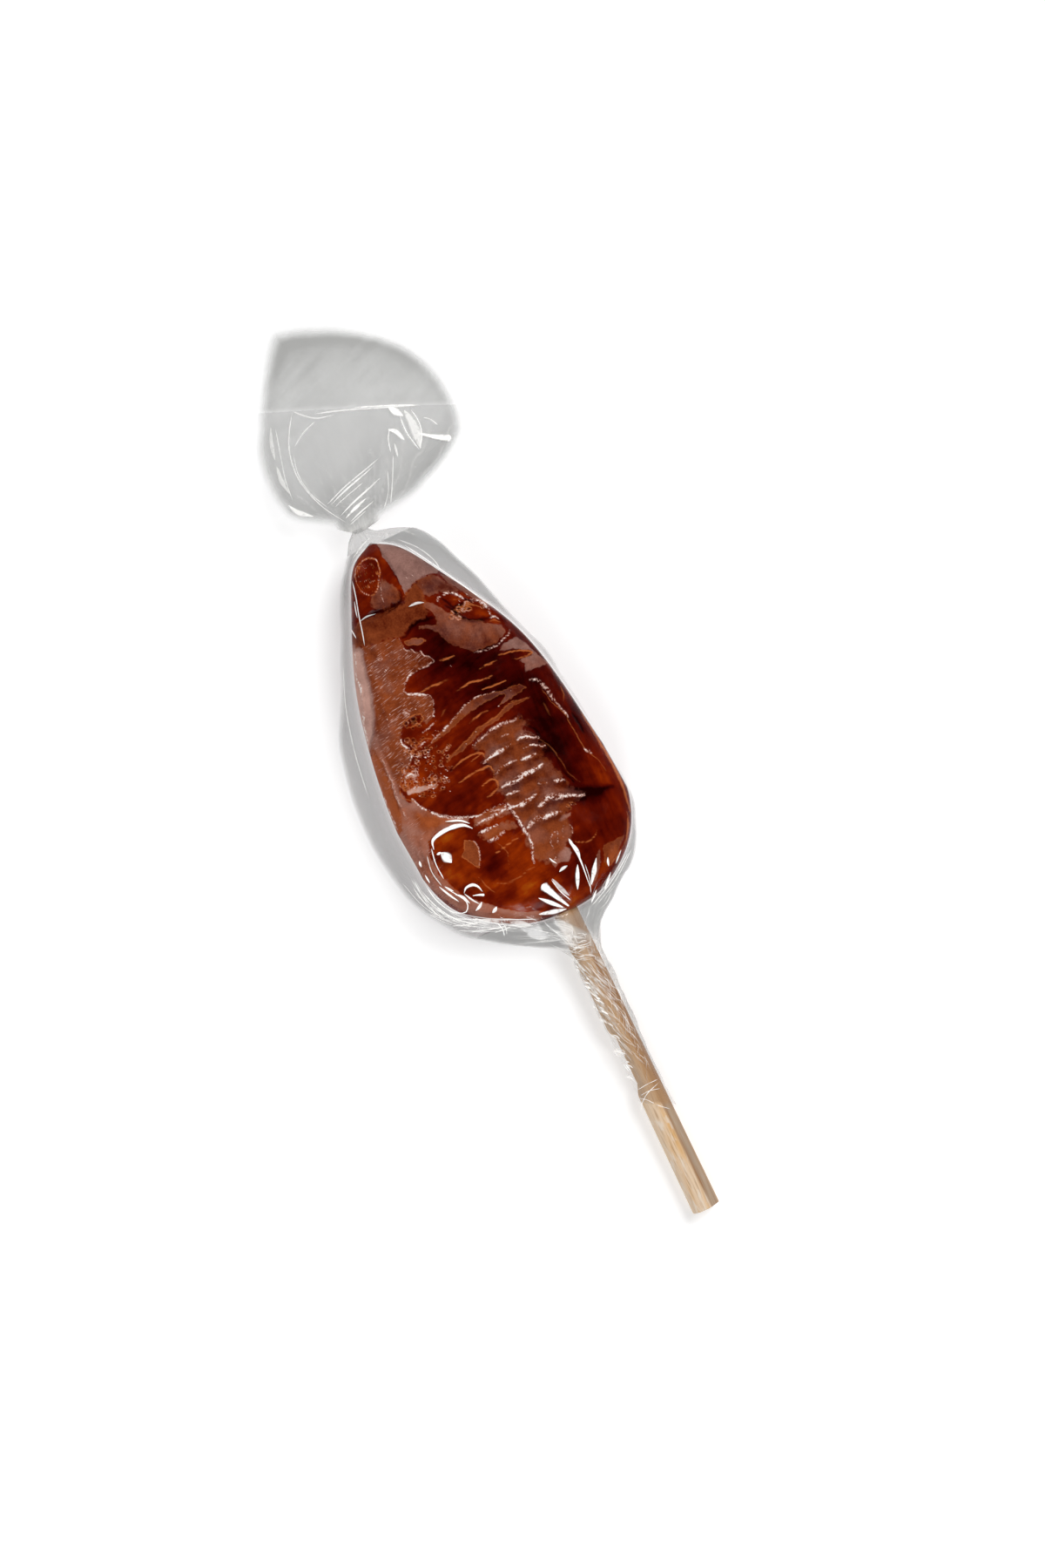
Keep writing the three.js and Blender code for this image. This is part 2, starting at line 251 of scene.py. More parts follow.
@contextmanager
def editing() -> Iterator[None]:
    """Keeps the active piece in edit mode for the length of a block."""
    bpy.ops.object.mode_set(mode="EDIT")
    yield
    bpy.ops.object.mode_set(mode="OBJECT")


def wrap_sheet(name: str, places: Array, marks: dict[str, Array] | None = None) -> Piece:
    """Starts from a flat grid and lays its rows and columns over a form.

    Args:
        name: the piece's name.
        places: rows by columns by three, in mm.
        marks: values to store on the surface, rows by columns each.

    Returns:
        The piece, with seams and poles merged and its faces pointing outwards.
    """
    rows, columns = places.shape[:2]
    bpy.ops.object.select_all(action="DESELECT")
    bpy.ops.mesh.primitive_grid_add(x_subdivisions=columns - 1, y_subdivisions=rows - 1, size=1)
    piece = bpy.context.object
    piece.name = name
    piece.data.name = name
    flat = vertices(piece) * MM
    column = np.rint((flat[:, 0] + 0.5) * (columns - 1)).astype(int)
    row = np.rint((flat[:, 1] + 0.5) * (rows - 1)).astype(int)
    place(piece, places[row, column])
    for mark, values in (marks or {}).items():
        store(piece, mark, values[row, column])
    only(piece)
    with editing():
        bpy.ops.mesh.select_all(action="SELECT")
        bpy.ops.mesh.remove_doubles(threshold=1e-7)
        bpy.ops.mesh.normals_make_consistent(inside=False)
    bpy.ops.object.shade_smooth()
    return piece


def store(piece: Piece, mark: str, values: Array) -> None:
    """Keeps one value for each vertex under a name."""
    layer = piece.data.attributes.new(mark, "FLOAT", "POINT")
    layer.data.foreach_set("value", np.asarray(values, dtype=np.float32))


def vertices(piece: Piece) -> Array:
    """The piece's vertices in mm, one row each.

    Args:
        piece: the piece.

    Returns:
        The places.
    """
    flat = np.empty(len(piece.data.vertices) * 3)
    piece.data.vertices.foreach_get("co", flat)
    return flat.reshape(-1, 3) / MM


def place(piece: Piece, points: Array) -> None:
    """Moves the piece's vertices to places in mm."""
    piece.data.vertices.foreach_set("co", (points * MM).ravel())
    piece.data.update()


# Nodes

Value = float | tuple | Socket


class Shading:
    """Nodes of one material or node group under construction."""

    def __init__(self, tree: bpy.types.NodeTree) -> None:
        """Starts with an empty tree."""
        self.tree = tree
        self.tree.nodes.clear()

    @classmethod
    def of_material(cls, name: str) -> tuple["Shading", Material]:
        """A new material and its empty nodes.

        Args:
            name: the material's name.

        Returns:
            The nodes and the material.
        """
        material = bpy.data.materials.new(name)
        material.use_nodes = True
        return cls(material.node_tree), material

    def node(
        self, kind: str, sockets: dict[str | int, Value] | None = None, **settings: object
    ) -> bpy.types.Node:
        """Adds a node.

        Args:
            kind: the node's type, without its ShaderNode prefix.
            sockets: values or links for its inputs, by name or number.
            **settings: the node's own settings.

        Returns:
            The node.
        """
        made = self.tree.nodes.new("ShaderNode" + kind)
        for key, value in settings.items():
            setattr(made, key, value)
        for key, value in (sockets or {}).items():
            if isinstance(value, Socket):
                self.tree.links.new(value, made.inputs[key])
            else:
                made.inputs[key].default_value = value
        return made

    def math(self, operation: str, first: Value, second: Value = 0.0) -> Socket:
        """One sum of two values."""
        return self.node("Math", {0: first, 1: second}, operation=operation).outputs[0]

    def blend(self, share: Value, first: Value, second: Value) -> Socket:
        """First colour turning into the second."""
        sockets = {0: share, 6: first, 7: second}
        return self.node("Mix", sockets, data_type="RGBA", clamp_factor=True).outputs[2]

    def span(self, value: Value, low: Value, high: Value, start: float = 0, end: float = 1) -> Socket:
        """Smooth step of a value from start at low to end at high."""
        sockets = {0: value, 1: low, 2: high, 3: start, 4: end}
        return self.node("MapRange", sockets, interpolation_type="SMOOTHSTEP").outputs[0]

    def mark(self, name: str) -> Socket:
        """A value stored on the surface."""
        return self.node("Attribute", attribute_name=name).outputs["Fac"]

    def grain(
        self, scale: Value, detail: float = 3, stretch: tuple | None = None, turn: float = 0.0
    ) -> Socket:
        """Noise in the piece's own place, in lumps per metre, stretched along turned axes where asked.

        Args:
            scale: lumps per metre.
            detail: how many finer layers.
            stretch: lumps per metre along each axis.
            turn: how far those axes are turned about Z.

        Returns:
            The noise.
        """
        where = self.node("TexCoord").outputs["Object"]
        if stretch:
            sizes = tuple(1 / lumps for lumps in stretch)
            sockets = {0: where, "Rotation": (0, 0, turn), "Scale": sizes}
            where = self.node("Mapping", sockets, vector_type="TEXTURE").outputs[0]
        return self.node("TexNoise", {"Vector": where, "Scale": scale, "Detail": detail}).outputs[0]

    def ramp(self, value: Value, stops: Sequence[tuple[float, Colour]]) -> Socket:
        """Colours along a value.

        Args:
            value: what the colours follow.
            stops: places along it and their colours.

        Returns:
            The colour.
        """
        made = self.node("ValToRGB", {0: value})
        band = made.color_ramp
        while len(band.elements) < len(stops):
            band.elements.new(0.5)
        for element, (at, colour) in zip(band.elements, stops):
            element.position = at
            element.color = colour
        return made.outputs[0]

    def group(self, tree: bpy.types.NodeTree, **values: Value) -> Socket:
        """Places a node group with its own values and gives its first output."""
        sockets = {key.capitalize(): value for key, value in values.items()}
        return self.node("Group", sockets, node_tree=tree).outputs[0]

    def finish(self, shader: Socket) -> None:
        """Joins the shader to the output."""
        self.node("OutputMaterial", {"Surface": shader})

    def finish_clear(self, alpha: Socket, shader: bpy.types.Node) -> None:
        """Joins a shader to the output, see-through where alpha is low.

        Args:
            alpha: how much of the shader shows.
            shader: the shader's node.
        """
        gone = self.node("BsdfTransparent")
        mixed = self.node("MixShader", {0: alpha, 1: gone.outputs[0], 2: shader.outputs[0]})
        self.finish(mixed.outputs[0])


def breakup_group() -> bpy.types.NodeTree:
    """Node group that breaks an even mark into dashes and specks.

    Returns:
        A group with inputs for the mark and the specks' scale and limits, and the broken mark as output.
    """
    name = "breakup"
    if name in bpy.data.node_groups:
        return bpy.data.node_groups[name]
    tree = bpy.data.node_groups.new(name, "ShaderNodeTree")
    for socket, start in (("Mark", 1.0), ("Scale", 1500.0), ("Low", 0.4), ("High", 0.6)):
        made = tree.interface.new_socket(socket, in_out="INPUT", socket_type="NodeSocketFloat")
        made.default_value = start
    tree.interface.new_socket("Broken", in_out="OUTPUT", socket_type="NodeSocketFloat")
    nodes = Shading(tree)
    given = tree.nodes.new("NodeGroupInput").outputs
    specks = nodes.grain(given["Scale"], 4)
    broken = nodes.math("MULTIPLY", given["Mark"], nodes.span(specks, given["Low"], given["High"]))
    out = tree.nodes.new("NodeGroupOutput")
    tree.links.new(broken, out.inputs[0])
    return tree


# Finishes

@dataclass(frozen=True)
class CaramelFinish:
    """Boiled sugar under film: dark and wet where the film clings, dull and paler from painted sheen where
    air is between.
    """

    brightest: Colour = tone(166, 82, 12)
    amber: Colour = tone(140, 44, 2)
    brown: Colour = tone(98, 18, 1)
    dark: Colour = tone(64, 4, 1)
    darkest: Colour = tone(28, 0, 0)
    dry_brown_light: Colour = tone(166, 83, 42)
    dry_brown_dark: Colour = tone(80, 20, 3)
    # Painted sheen: mauve for the film's reflection where air lies under it.
    dry_mauve_sheen_light: Colour = tone(172, 130, 118)
    dry_mauve_sheen_dark: Colour = tone(96, 62, 57)
    glow_orange: Colour = tone(196, 108, 56)
    # Painted highlights: pinkish and white glints on crests, ridges, bubble rims and scratches, partly real
    # frosted sugar.
    pink_highlight: Colour = tone(204, 160, 146)
    frost: Colour = tone(238, 226, 220)
    wet_rough: float = 0.2
    dry_rough: float = 0.45
    gloss: float = 0.06
    scratch_turn: float = math.radians(12)
    vein_turn: float = math.radians(13)

    def material(self) -> Material:
        """The caramel's nodes.

        Returns:
            The material.
        """
        nodes, material = Shading.of_material("caramel")
        ragged = nodes.span(nodes.grain(1300, 5), 0.2, 0.8, -0.16, 0.16)
        edge = nodes.math("ADD", nodes.mark("dry"), ragged)
        dry = nodes.span(edge, -0.12, 0.14)
        lumps = nodes.span(nodes.grain(230, 5), 0.2, 0.8, -0.14, 0.14)
        mottle = nodes.span(nodes.grain(950, 4), 0.25, 0.75, -0.04, 0.04)
        depth = nodes.math("ADD", nodes.mark("depth"), lumps)
        body = self.body(nodes, nodes.math("ADD", nodes.math("ADD", depth, mottle), self.veins(nodes)))
        colour = nodes.blend(dry, body, self.dull(nodes, depth))
        # Painted highlight: a thin warm line of light along the edges of some dry patches.
        rim = nodes.math("MULTIPLY", nodes.span(edge, -0.2, -0.02), nodes.span(edge, 0.16, 0.02))
        rim = nodes.math("MULTIPLY", rim, nodes.mark("rim"))
        glow = nodes.math("MAXIMUM", nodes.mark("glow"), rim)
        glow = nodes.group(breakup_group(), mark=glow, scale=600, low=0.2, high=0.5)
        colour = nodes.blend(nodes.span(glow, 0.05, 0.7, 0, 0.72), colour, self.glow_orange)
        scratch = nodes.grain(1, 5, (700, 7000, 900), self.scratch_turn)
        scratch = nodes.math("MULTIPLY", nodes.span(scratch, 0.57, 0.68), nodes.mark("scratch"))
        colour = nodes.blend(nodes.math("MULTIPLY", scratch, 0.85), colour, self.pink_highlight)
        # Painted highlights: frosted lines and glints on ribs, ridges and bubble rims.
        frost = self.frosting_and_glints(nodes)
        colour = nodes.blend(nodes.span(frost, 0.08, 0.6, 0, 0.85), colour, self.pink_highlight)
        colour = nodes.blend(nodes.span(frost, 0.52, 0.95, 0, 0.95), colour, self.frost)
        rough = nodes.span(dry, 0, 1, self.wet_rough, self.dry_rough)
        pebbles = nodes.math("MULTIPLY", nodes.grain(2600, 3), 0.35)
        height = nodes.math("ADD", pebbles, nodes.math("MULTIPLY", scratch, 0.5))
        bump = nodes.node("Bump", {"Height": height, "Strength": 0.25, "Distance": 0.1 * MM})
        sockets = {
            "Base Color": colour,
            "Roughness": rough,
            "Normal": bump.outputs[0],
            "Specular IOR Level": self.gloss,
        }
        nodes.finish(nodes.node("BsdfPrincipled", sockets).outputs[0])
        return material

    def veins(self, nodes: Shading) -> Socket:
        """Streaks in the wet caramel, lying across the sweet and turning upright along its right side.

        Args:
            nodes: the material's nodes.

        Returns:
            How much darker or brighter they are.
        """
        across = nodes.grain(1, 5, (260, 900, 400), self.vein_turn)
        upright = nodes.grain(1, 5, (900, 150, 400))
        streak = nodes.node("Mix", {0: nodes.mark("upright"), 2: across, 3: upright}).outputs[0]
        return nodes.span(streak, 0.28, 0.72, -0.08, 0.08)

    def body(self, nodes: Shading, depth: Socket) -> Socket:
        """Colour of the wet caramel by depth, painted shade and light included."""
        stops = (self.brightest, self.amber, self.brown, self.dark, self.darkest)
        return nodes.ramp(depth, tuple((i / 4, colour) for i, colour in enumerate(stops)))

    def dull(self, nodes: Shading, depth: Socket) -> Socket:
        """Colour of the dry caramel, made paler by a painted mauve sheen.

        Args:
            nodes: the material's nodes.
            depth: how dark the caramel is.

        Returns:
            The colour, clouded and faintly streaked.
        """
        haze = nodes.span(nodes.grain(260, 4), 0.3, 0.7, -0.2, 0.24)
        pale = nodes.math("ADD", nodes.mark("pale"), haze)
        light = nodes.blend(pale, self.dry_brown_light, self.dry_mauve_sheen_light)
        # Painted highlight: the palest patches turn pinkish.
        light = nodes.blend(nodes.span(pale, 1.5, 2.1), light, self.pink_highlight)
        dim = nodes.blend(pale, self.dry_brown_dark, self.dry_mauve_sheen_dark)
        cloudy = nodes.span(nodes.grain(800, 5), 0.25, 0.75, -0.12, 0.12)
        streaks = nodes.span(nodes.grain(1, 4, (600, 90, 300)), 0.25, 0.75, -0.08, 0.08)
        speckle = nodes.span(nodes.grain(3600, 2), 0.25, 0.75, -0.09, 0.09)
        shade = nodes.math("ADD", depth, nodes.math("ADD", cloudy, nodes.math("ADD", streaks, speckle)))
        return nodes.blend(shade, light, dim)

    def frosting_and_glints(self, nodes: Shading) -> Socket:
        """How strongly the frosted lines and the painted highlights on ribs show, swelling and breaking along
        them.

        Args:
            nodes: the material's nodes.

        Returns:
            The strength.
        """
        mark = nodes.mark("frost")
        swell = nodes.span(nodes.grain(520, 3), 0.34, 0.62, 0.2, 1.2)
        crumbs = nodes.span(nodes.grain(2600, 3), 0.32, 0.68, -0.75, 0.6)
        uneven = nodes.math("ADD", swell, crumbs)
        return nodes.math("MULTIPLY", mark, uneven)


@dataclass(frozen=True)
class FilmFinish:
    """Thin clear film: a sheen where it is clean, a milky haze where it is crumpled, and a greyish haze of
    painted shade where the table shows through.
    """

    name: str = "clear film"
    sheen: Colour = tone(250, 250, 250)
    shade_grey: Colour = tone(174, 174, 173)
    milk: Colour = tone(244, 242, 237)
    clear: float = 0.006
    edge: float = 0.03
    haze_strength: float = 0.42
    milk_strength: float = 0.75
    shadow: float = 0.35
    rough: float = 0.1

    def material(self) -> Material:
        """The film's nodes.

        Returns:
            The material.
        """
        nodes, material = Shading.of_material(self.name)
        haze = nodes.mark("haze")
        milk = nodes.group(breakup_group(), mark=nodes.mark("milk"), scale=800, low=0.25, high=0.6)
        crinkle = nodes.grain(1, 3, (500, 900, 700))
        bump = nodes.node("Bump", {"Height": crinkle, "Strength": 0.2, "Distance": 0.15 * MM})
        fresnel = nodes.node("Fresnel", {"IOR": 1.5, "Normal": bump.outputs[0]}).outputs[0]
        # Painted shade: the haze stands for the table's shade seen through the film.
        cover = nodes.math("MULTIPLY", haze, self.haze_strength)
        cover = nodes.math("MAXIMUM", cover, nodes.math("MULTIPLY", milk, self.milk_strength))
        sheen = nodes.span(fresnel, 0.04, 1, self.clear, self.edge)
        shadow = nodes.node("LightPath").outputs["Is Shadow Ray"]
        faint = nodes.span(shadow, 0, 1, 1, self.shadow)
        alpha = nodes.math("MULTIPLY", nodes.math("ADD", cover, sheen), faint)
        metal = nodes.math("SUBTRACT", 1.0, nodes.span(cover, 0.0, 0.12))
        colour = nodes.blend(milk, self.shade_grey, self.milk)
        colour = nodes.blend(metal, colour, self.sheen)
        sockets = {
            "Base Color": colour,
            "Metallic": metal,
            "Roughness": self.rough,
            "Normal": bump.outputs[0],
        }
        shader = nodes.node("BsdfPrincipled", sockets)
        nodes.finish_clear(alpha, shader)
        return material


@dataclass(frozen=True)
class FoldHighlightFinish:
    """Sharp white folds in the film, partly painted highlights and glow, thinning out at their edges."""

    white: Colour = tone(252, 251, 248)
    rough: float = 0.3
    # Painted glow: the folds give off a little light of their own.
    glint: float = 0.2

    def material(self) -> Material:
        """The folds' nodes.

        Returns:
            The material.
        """
        nodes, material = Shading.of_material("film fold")
        solid = nodes.span(nodes.mark("body"), 0.05, 0.55)
        solid = nodes.math("MULTIPLY", solid, nodes.mark("strength"))
        broken_up = nodes.span(nodes.grain(1300, 3), 0.25, 0.5, 0.55, 1.0)
        alpha = nodes.math("MULTIPLY", solid, broken_up)
        sockets = {
            "Base Color": self.white,
            "Roughness": self.rough,
            "Emission Color": self.white,
            "Emission Strength": self.glint,
        }
        shader = nodes.node("BsdfPrincipled", sockets)
        nodes.finish_clear(alpha, shader)
        return material


@dataclass(frozen=True)
class WoodFinish:
    """Pale split wood with fine grain along its length."""

    cream: Colour = tone(224, 198, 168)
    chalk: Colour = tone(228, 214, 198)
    gold: Colour = tone(214, 164, 98)
    brown: Colour = tone(150, 100, 52)
    split: Colour = tone(158, 136, 114)
    tan: Colour = tone(178, 140, 100)
    rough: float = 0.7

    def material(self) -> Material:
        """The wood's nodes.

        Returns:
            The material.
        """
        nodes, material = Shading.of_material("split wood")
        streak = nodes.grain(1, 4, (700, 60, 700))
        fine = nodes.grain(1, 4, (4200, 130, 4200))
        scuff = nodes.grain(1, 5, (1500, 420, 1500))
        gold = nodes.math("ADD", nodes.span(streak, 0.5, 0.75, 0, 0.6), nodes.mark("gold"))
        colour = nodes.blend(gold, self.cream, self.gold)
        colour = nodes.blend(nodes.span(scuff, 0.5, 0.66, 0, 0.75), colour, self.chalk)
        colour = nodes.blend(nodes.mark("facet"), colour, self.split)
        colour = nodes.blend(nodes.mark("tan"), colour, self.tan)
        # This darkening also carries painted shade on the stick's far side.
        dark = nodes.math("ADD", nodes.span(fine, 0.5, 0.76, 0, 0.55), nodes.mark("seam"))
        colour = nodes.blend(dark, colour, self.brown)
        bump = nodes.node("Bump", {"Height": fine, "Strength": 0.3, "Distance": 0.08 * MM})
        sockets = {"Base Color": colour, "Roughness": self.rough, "Normal": bump.outputs[0]}
        nodes.finish(nodes.node("BsdfPrincipled", sockets).outputs[0])
        return material


# The sweet's form, which caramel and film share

@dataclass(frozen=True)
class SweetForm:
    """Outline and lie of the sweet: a flat teardrop that leans so that its stick clears the table."""

    length: float = 72.5
    half_width: float = 19.5
    half_thickness: float = 7.0
    swell: float = 2.4
    squareness: float = 3.0
    axis_x: float = 2.695
    base_y: float = -28.16
    lean: float = math.tan(math.radians(3))
    yaw: float = math.tan(math.radians(1.4))
    axis_at_base: float = 2.55 + 57 * math.tan(math.radians(3))
    stations: tuple[tuple[float, float, float], ...] = (
        (1.0, 0.0, -5.0), (0.965, 0.215, -5.0), (0.865, 0.444, -4.25), (0.66, 0.797, -2.75),
        (0.38, 0.984, -1.92), (0.215, 1.0, -0.9), (0.103, 0.825, -0.82), (0.02, 0.39, -0.1),
        (0.0, 0.0, 0.0),
    )

    def height(self, y: Array | float) -> Array | float:
        """Height of the sweet's middle plane above the table."""
        return self.axis_at_base + (y - self.base_y) * self.lean

    def stick_x(self, y: Array | float) -> Array | float:
        """Where the stick's axis lies across."""
        return self.axis_x - (y - self.base_y) * self.yaw

    def sections(self, shares: Array) -> tuple[Array, Array, Array, Array]:
        """Cross-sections from tip to base.

        Args:
            shares: shares of the way along the outline, 0 at the tip.

        Returns:
            Half width, place along Y, middle across X and half thickness of each.
        """
        knots = [(self.half_width * w, self.length * a, m) for a, w, m in self.stations]
        line = spline(knots, 2000)
        at = np.linspace(0, 1, len(line))
        half, y, middle = (np.interp(shares, at, line[:, k]) for k in range(3))
        half = np.clip(half, 0, self.half_width)
        deep = self.half_thickness * (1 - (1 - half / self.half_width) ** self.swell)
        return half, y + self.base_y, middle + self.axis_x, deep

    def rings(self, shares: Array, angles: Array, grow: float = 0.0) -> Array:
        """The form's skin, grown outwards.

        Args:
            shares: shares of the way along the outline.
            angles: angles round each section, 0 at the left and a quarter turn at the top.
            grow: how far the skin stands off the form.

        Returns:
            Places, one row for each share.
        """
        half, y, middle, deep = self.sections(shares)
        return flat_rings(half + grow, y, middle, deep + grow, self.height(y), angles, self.squareness)

    def beyond(self, places: Array) -> Array:
        """How far places lie outside the sweet's outline, seen from above.

        Args:
            places: rows and columns of places.

        Returns:
            A distance in mm for each, below 0 inside.
        """
        half, y, middle, _ = self.sections(np.linspace(0, 1, 90))
        outline = np.concatenate([np.stack([middle - half, y], 1), np.stack([middle + half, y], 1)[::-1]])
        far = patch_depth(places[..., 0].ravel(), places[..., 1].ravel(), outline)
        return -far.reshape(places.shape[:-1])


def flat_rings(
    half: Array, y: Array, middle: Array, deep: Array, height: Array, angles: Array, squareness: Array | float
) -> Array:
    """Flattened rings.

    Args:
        half: half width of each ring.
        y: its place along Y.
        middle: its middle across X.
        deep: half its thickness.
        height: its middle above the table.
        angles: angles round, 0 at the left and a quarter turn at the top.
        squareness: 2 for an oval, more for squarer.

    Returns:
        Places, one row for each ring.
    """
    power = np.reshape(2 / np.asarray(squareness), (-1, 1))
    across, up = (np.sign(way) * np.abs(way) ** power for way in (-np.cos(angles), np.sin(angles)))
    x = middle[:, None] + half[:, None] * across
    z = height[:, None] + deep[:, None] * up
    return np.stack([x, np.broadcast_to(y[:, None], x.shape), z], axis=2)


def outward(angles: Array) -> Array:
    """Directions out from a ring's middle, one for each angle round."""
    return np.stack([-np.cos(angles), np.zeros_like(angles), np.sin(angles)], axis=1)


# Marks on the sweet's face

class MarkKind(Enum):
    """What a drawn line on the face is."""

    RIB = "rib"
    FROST = "frost"
    GLOW = "glow"
    CREASE = "crease"


@dataclass(frozen=True)
class Line:
    """A line drawn on the face: how wide it is, how strongly it shows and where it runs."""

    width: float
    shine: float
    points: tuple[Point, ...]


@dataclass(frozen=True)
class Patch:
    """A patch the film doesn't touch: paleness of its painted sheen, darkness, painted rim highlight,
    outline, softness.
    """

    pale: float
    darker: float
    rim: float
    points: tuple[Point, ...]
    soft: float = 1.0


@dataclass(frozen=True)
class StainAndShade:
    """A soft oval where the caramel is darker or, below 0, brighter; stains, painted shade and painted light
    among them.
    """

    amount: float
    middle: Point
    reach: Point
    turn: float = 0.0


@dataclass(frozen=True)
class Froth:
    """Small bubbles scattered in an oval."""

    count: int
    middle: Point
    reach: Point
    smallest: float
    largest: float
    seed: int


LEFT_FIELD = Patch(0.02, 0.08, 0.1, (
    (-12, 28.4), (-9, 27.9), (-6, 27.5), (-4.4, 27), (-4.2, 25.5), (-4.1, 24.6), (-3, 24.3), (-2.8, 23.6),
    (-1.8, 23.4), (-1.6, 22.4), (-1, 22), (-0.5, 21), (-2, 20.6), (-3.6, 20.6), (-5, 20.6), (-6.2, 19.8),
    (-7, 18.8), (-7.4, 18.2), (-6.8, 17.5), (-5.8, 17.2), (-4.8, 16.6), (-3.5, 15.8), (-3.6, 14.5),
    (-4.2, 13), (-5, 12), (-6.2, 11.8), (-6.4, 13.4), (-7.4, 14), (-9.4, 13.4), (-10.4, 12.4),
    (-11.2, 11.4), (-11.3, 10.2), (-10.7, 9.2), (-10.6, 7.8), (-11.3, 6.8), (-12.8, 5.8), (-14, 4.6),
    (-14.9, 3.4), (-15.1, 1.8), (-14.2, 1.2), (-16, 0), (-17.5, 0), (-17.2, 6), (-17, 11), (-15.5, 16),
    (-14.2, 20), (-13.2, 24),
))

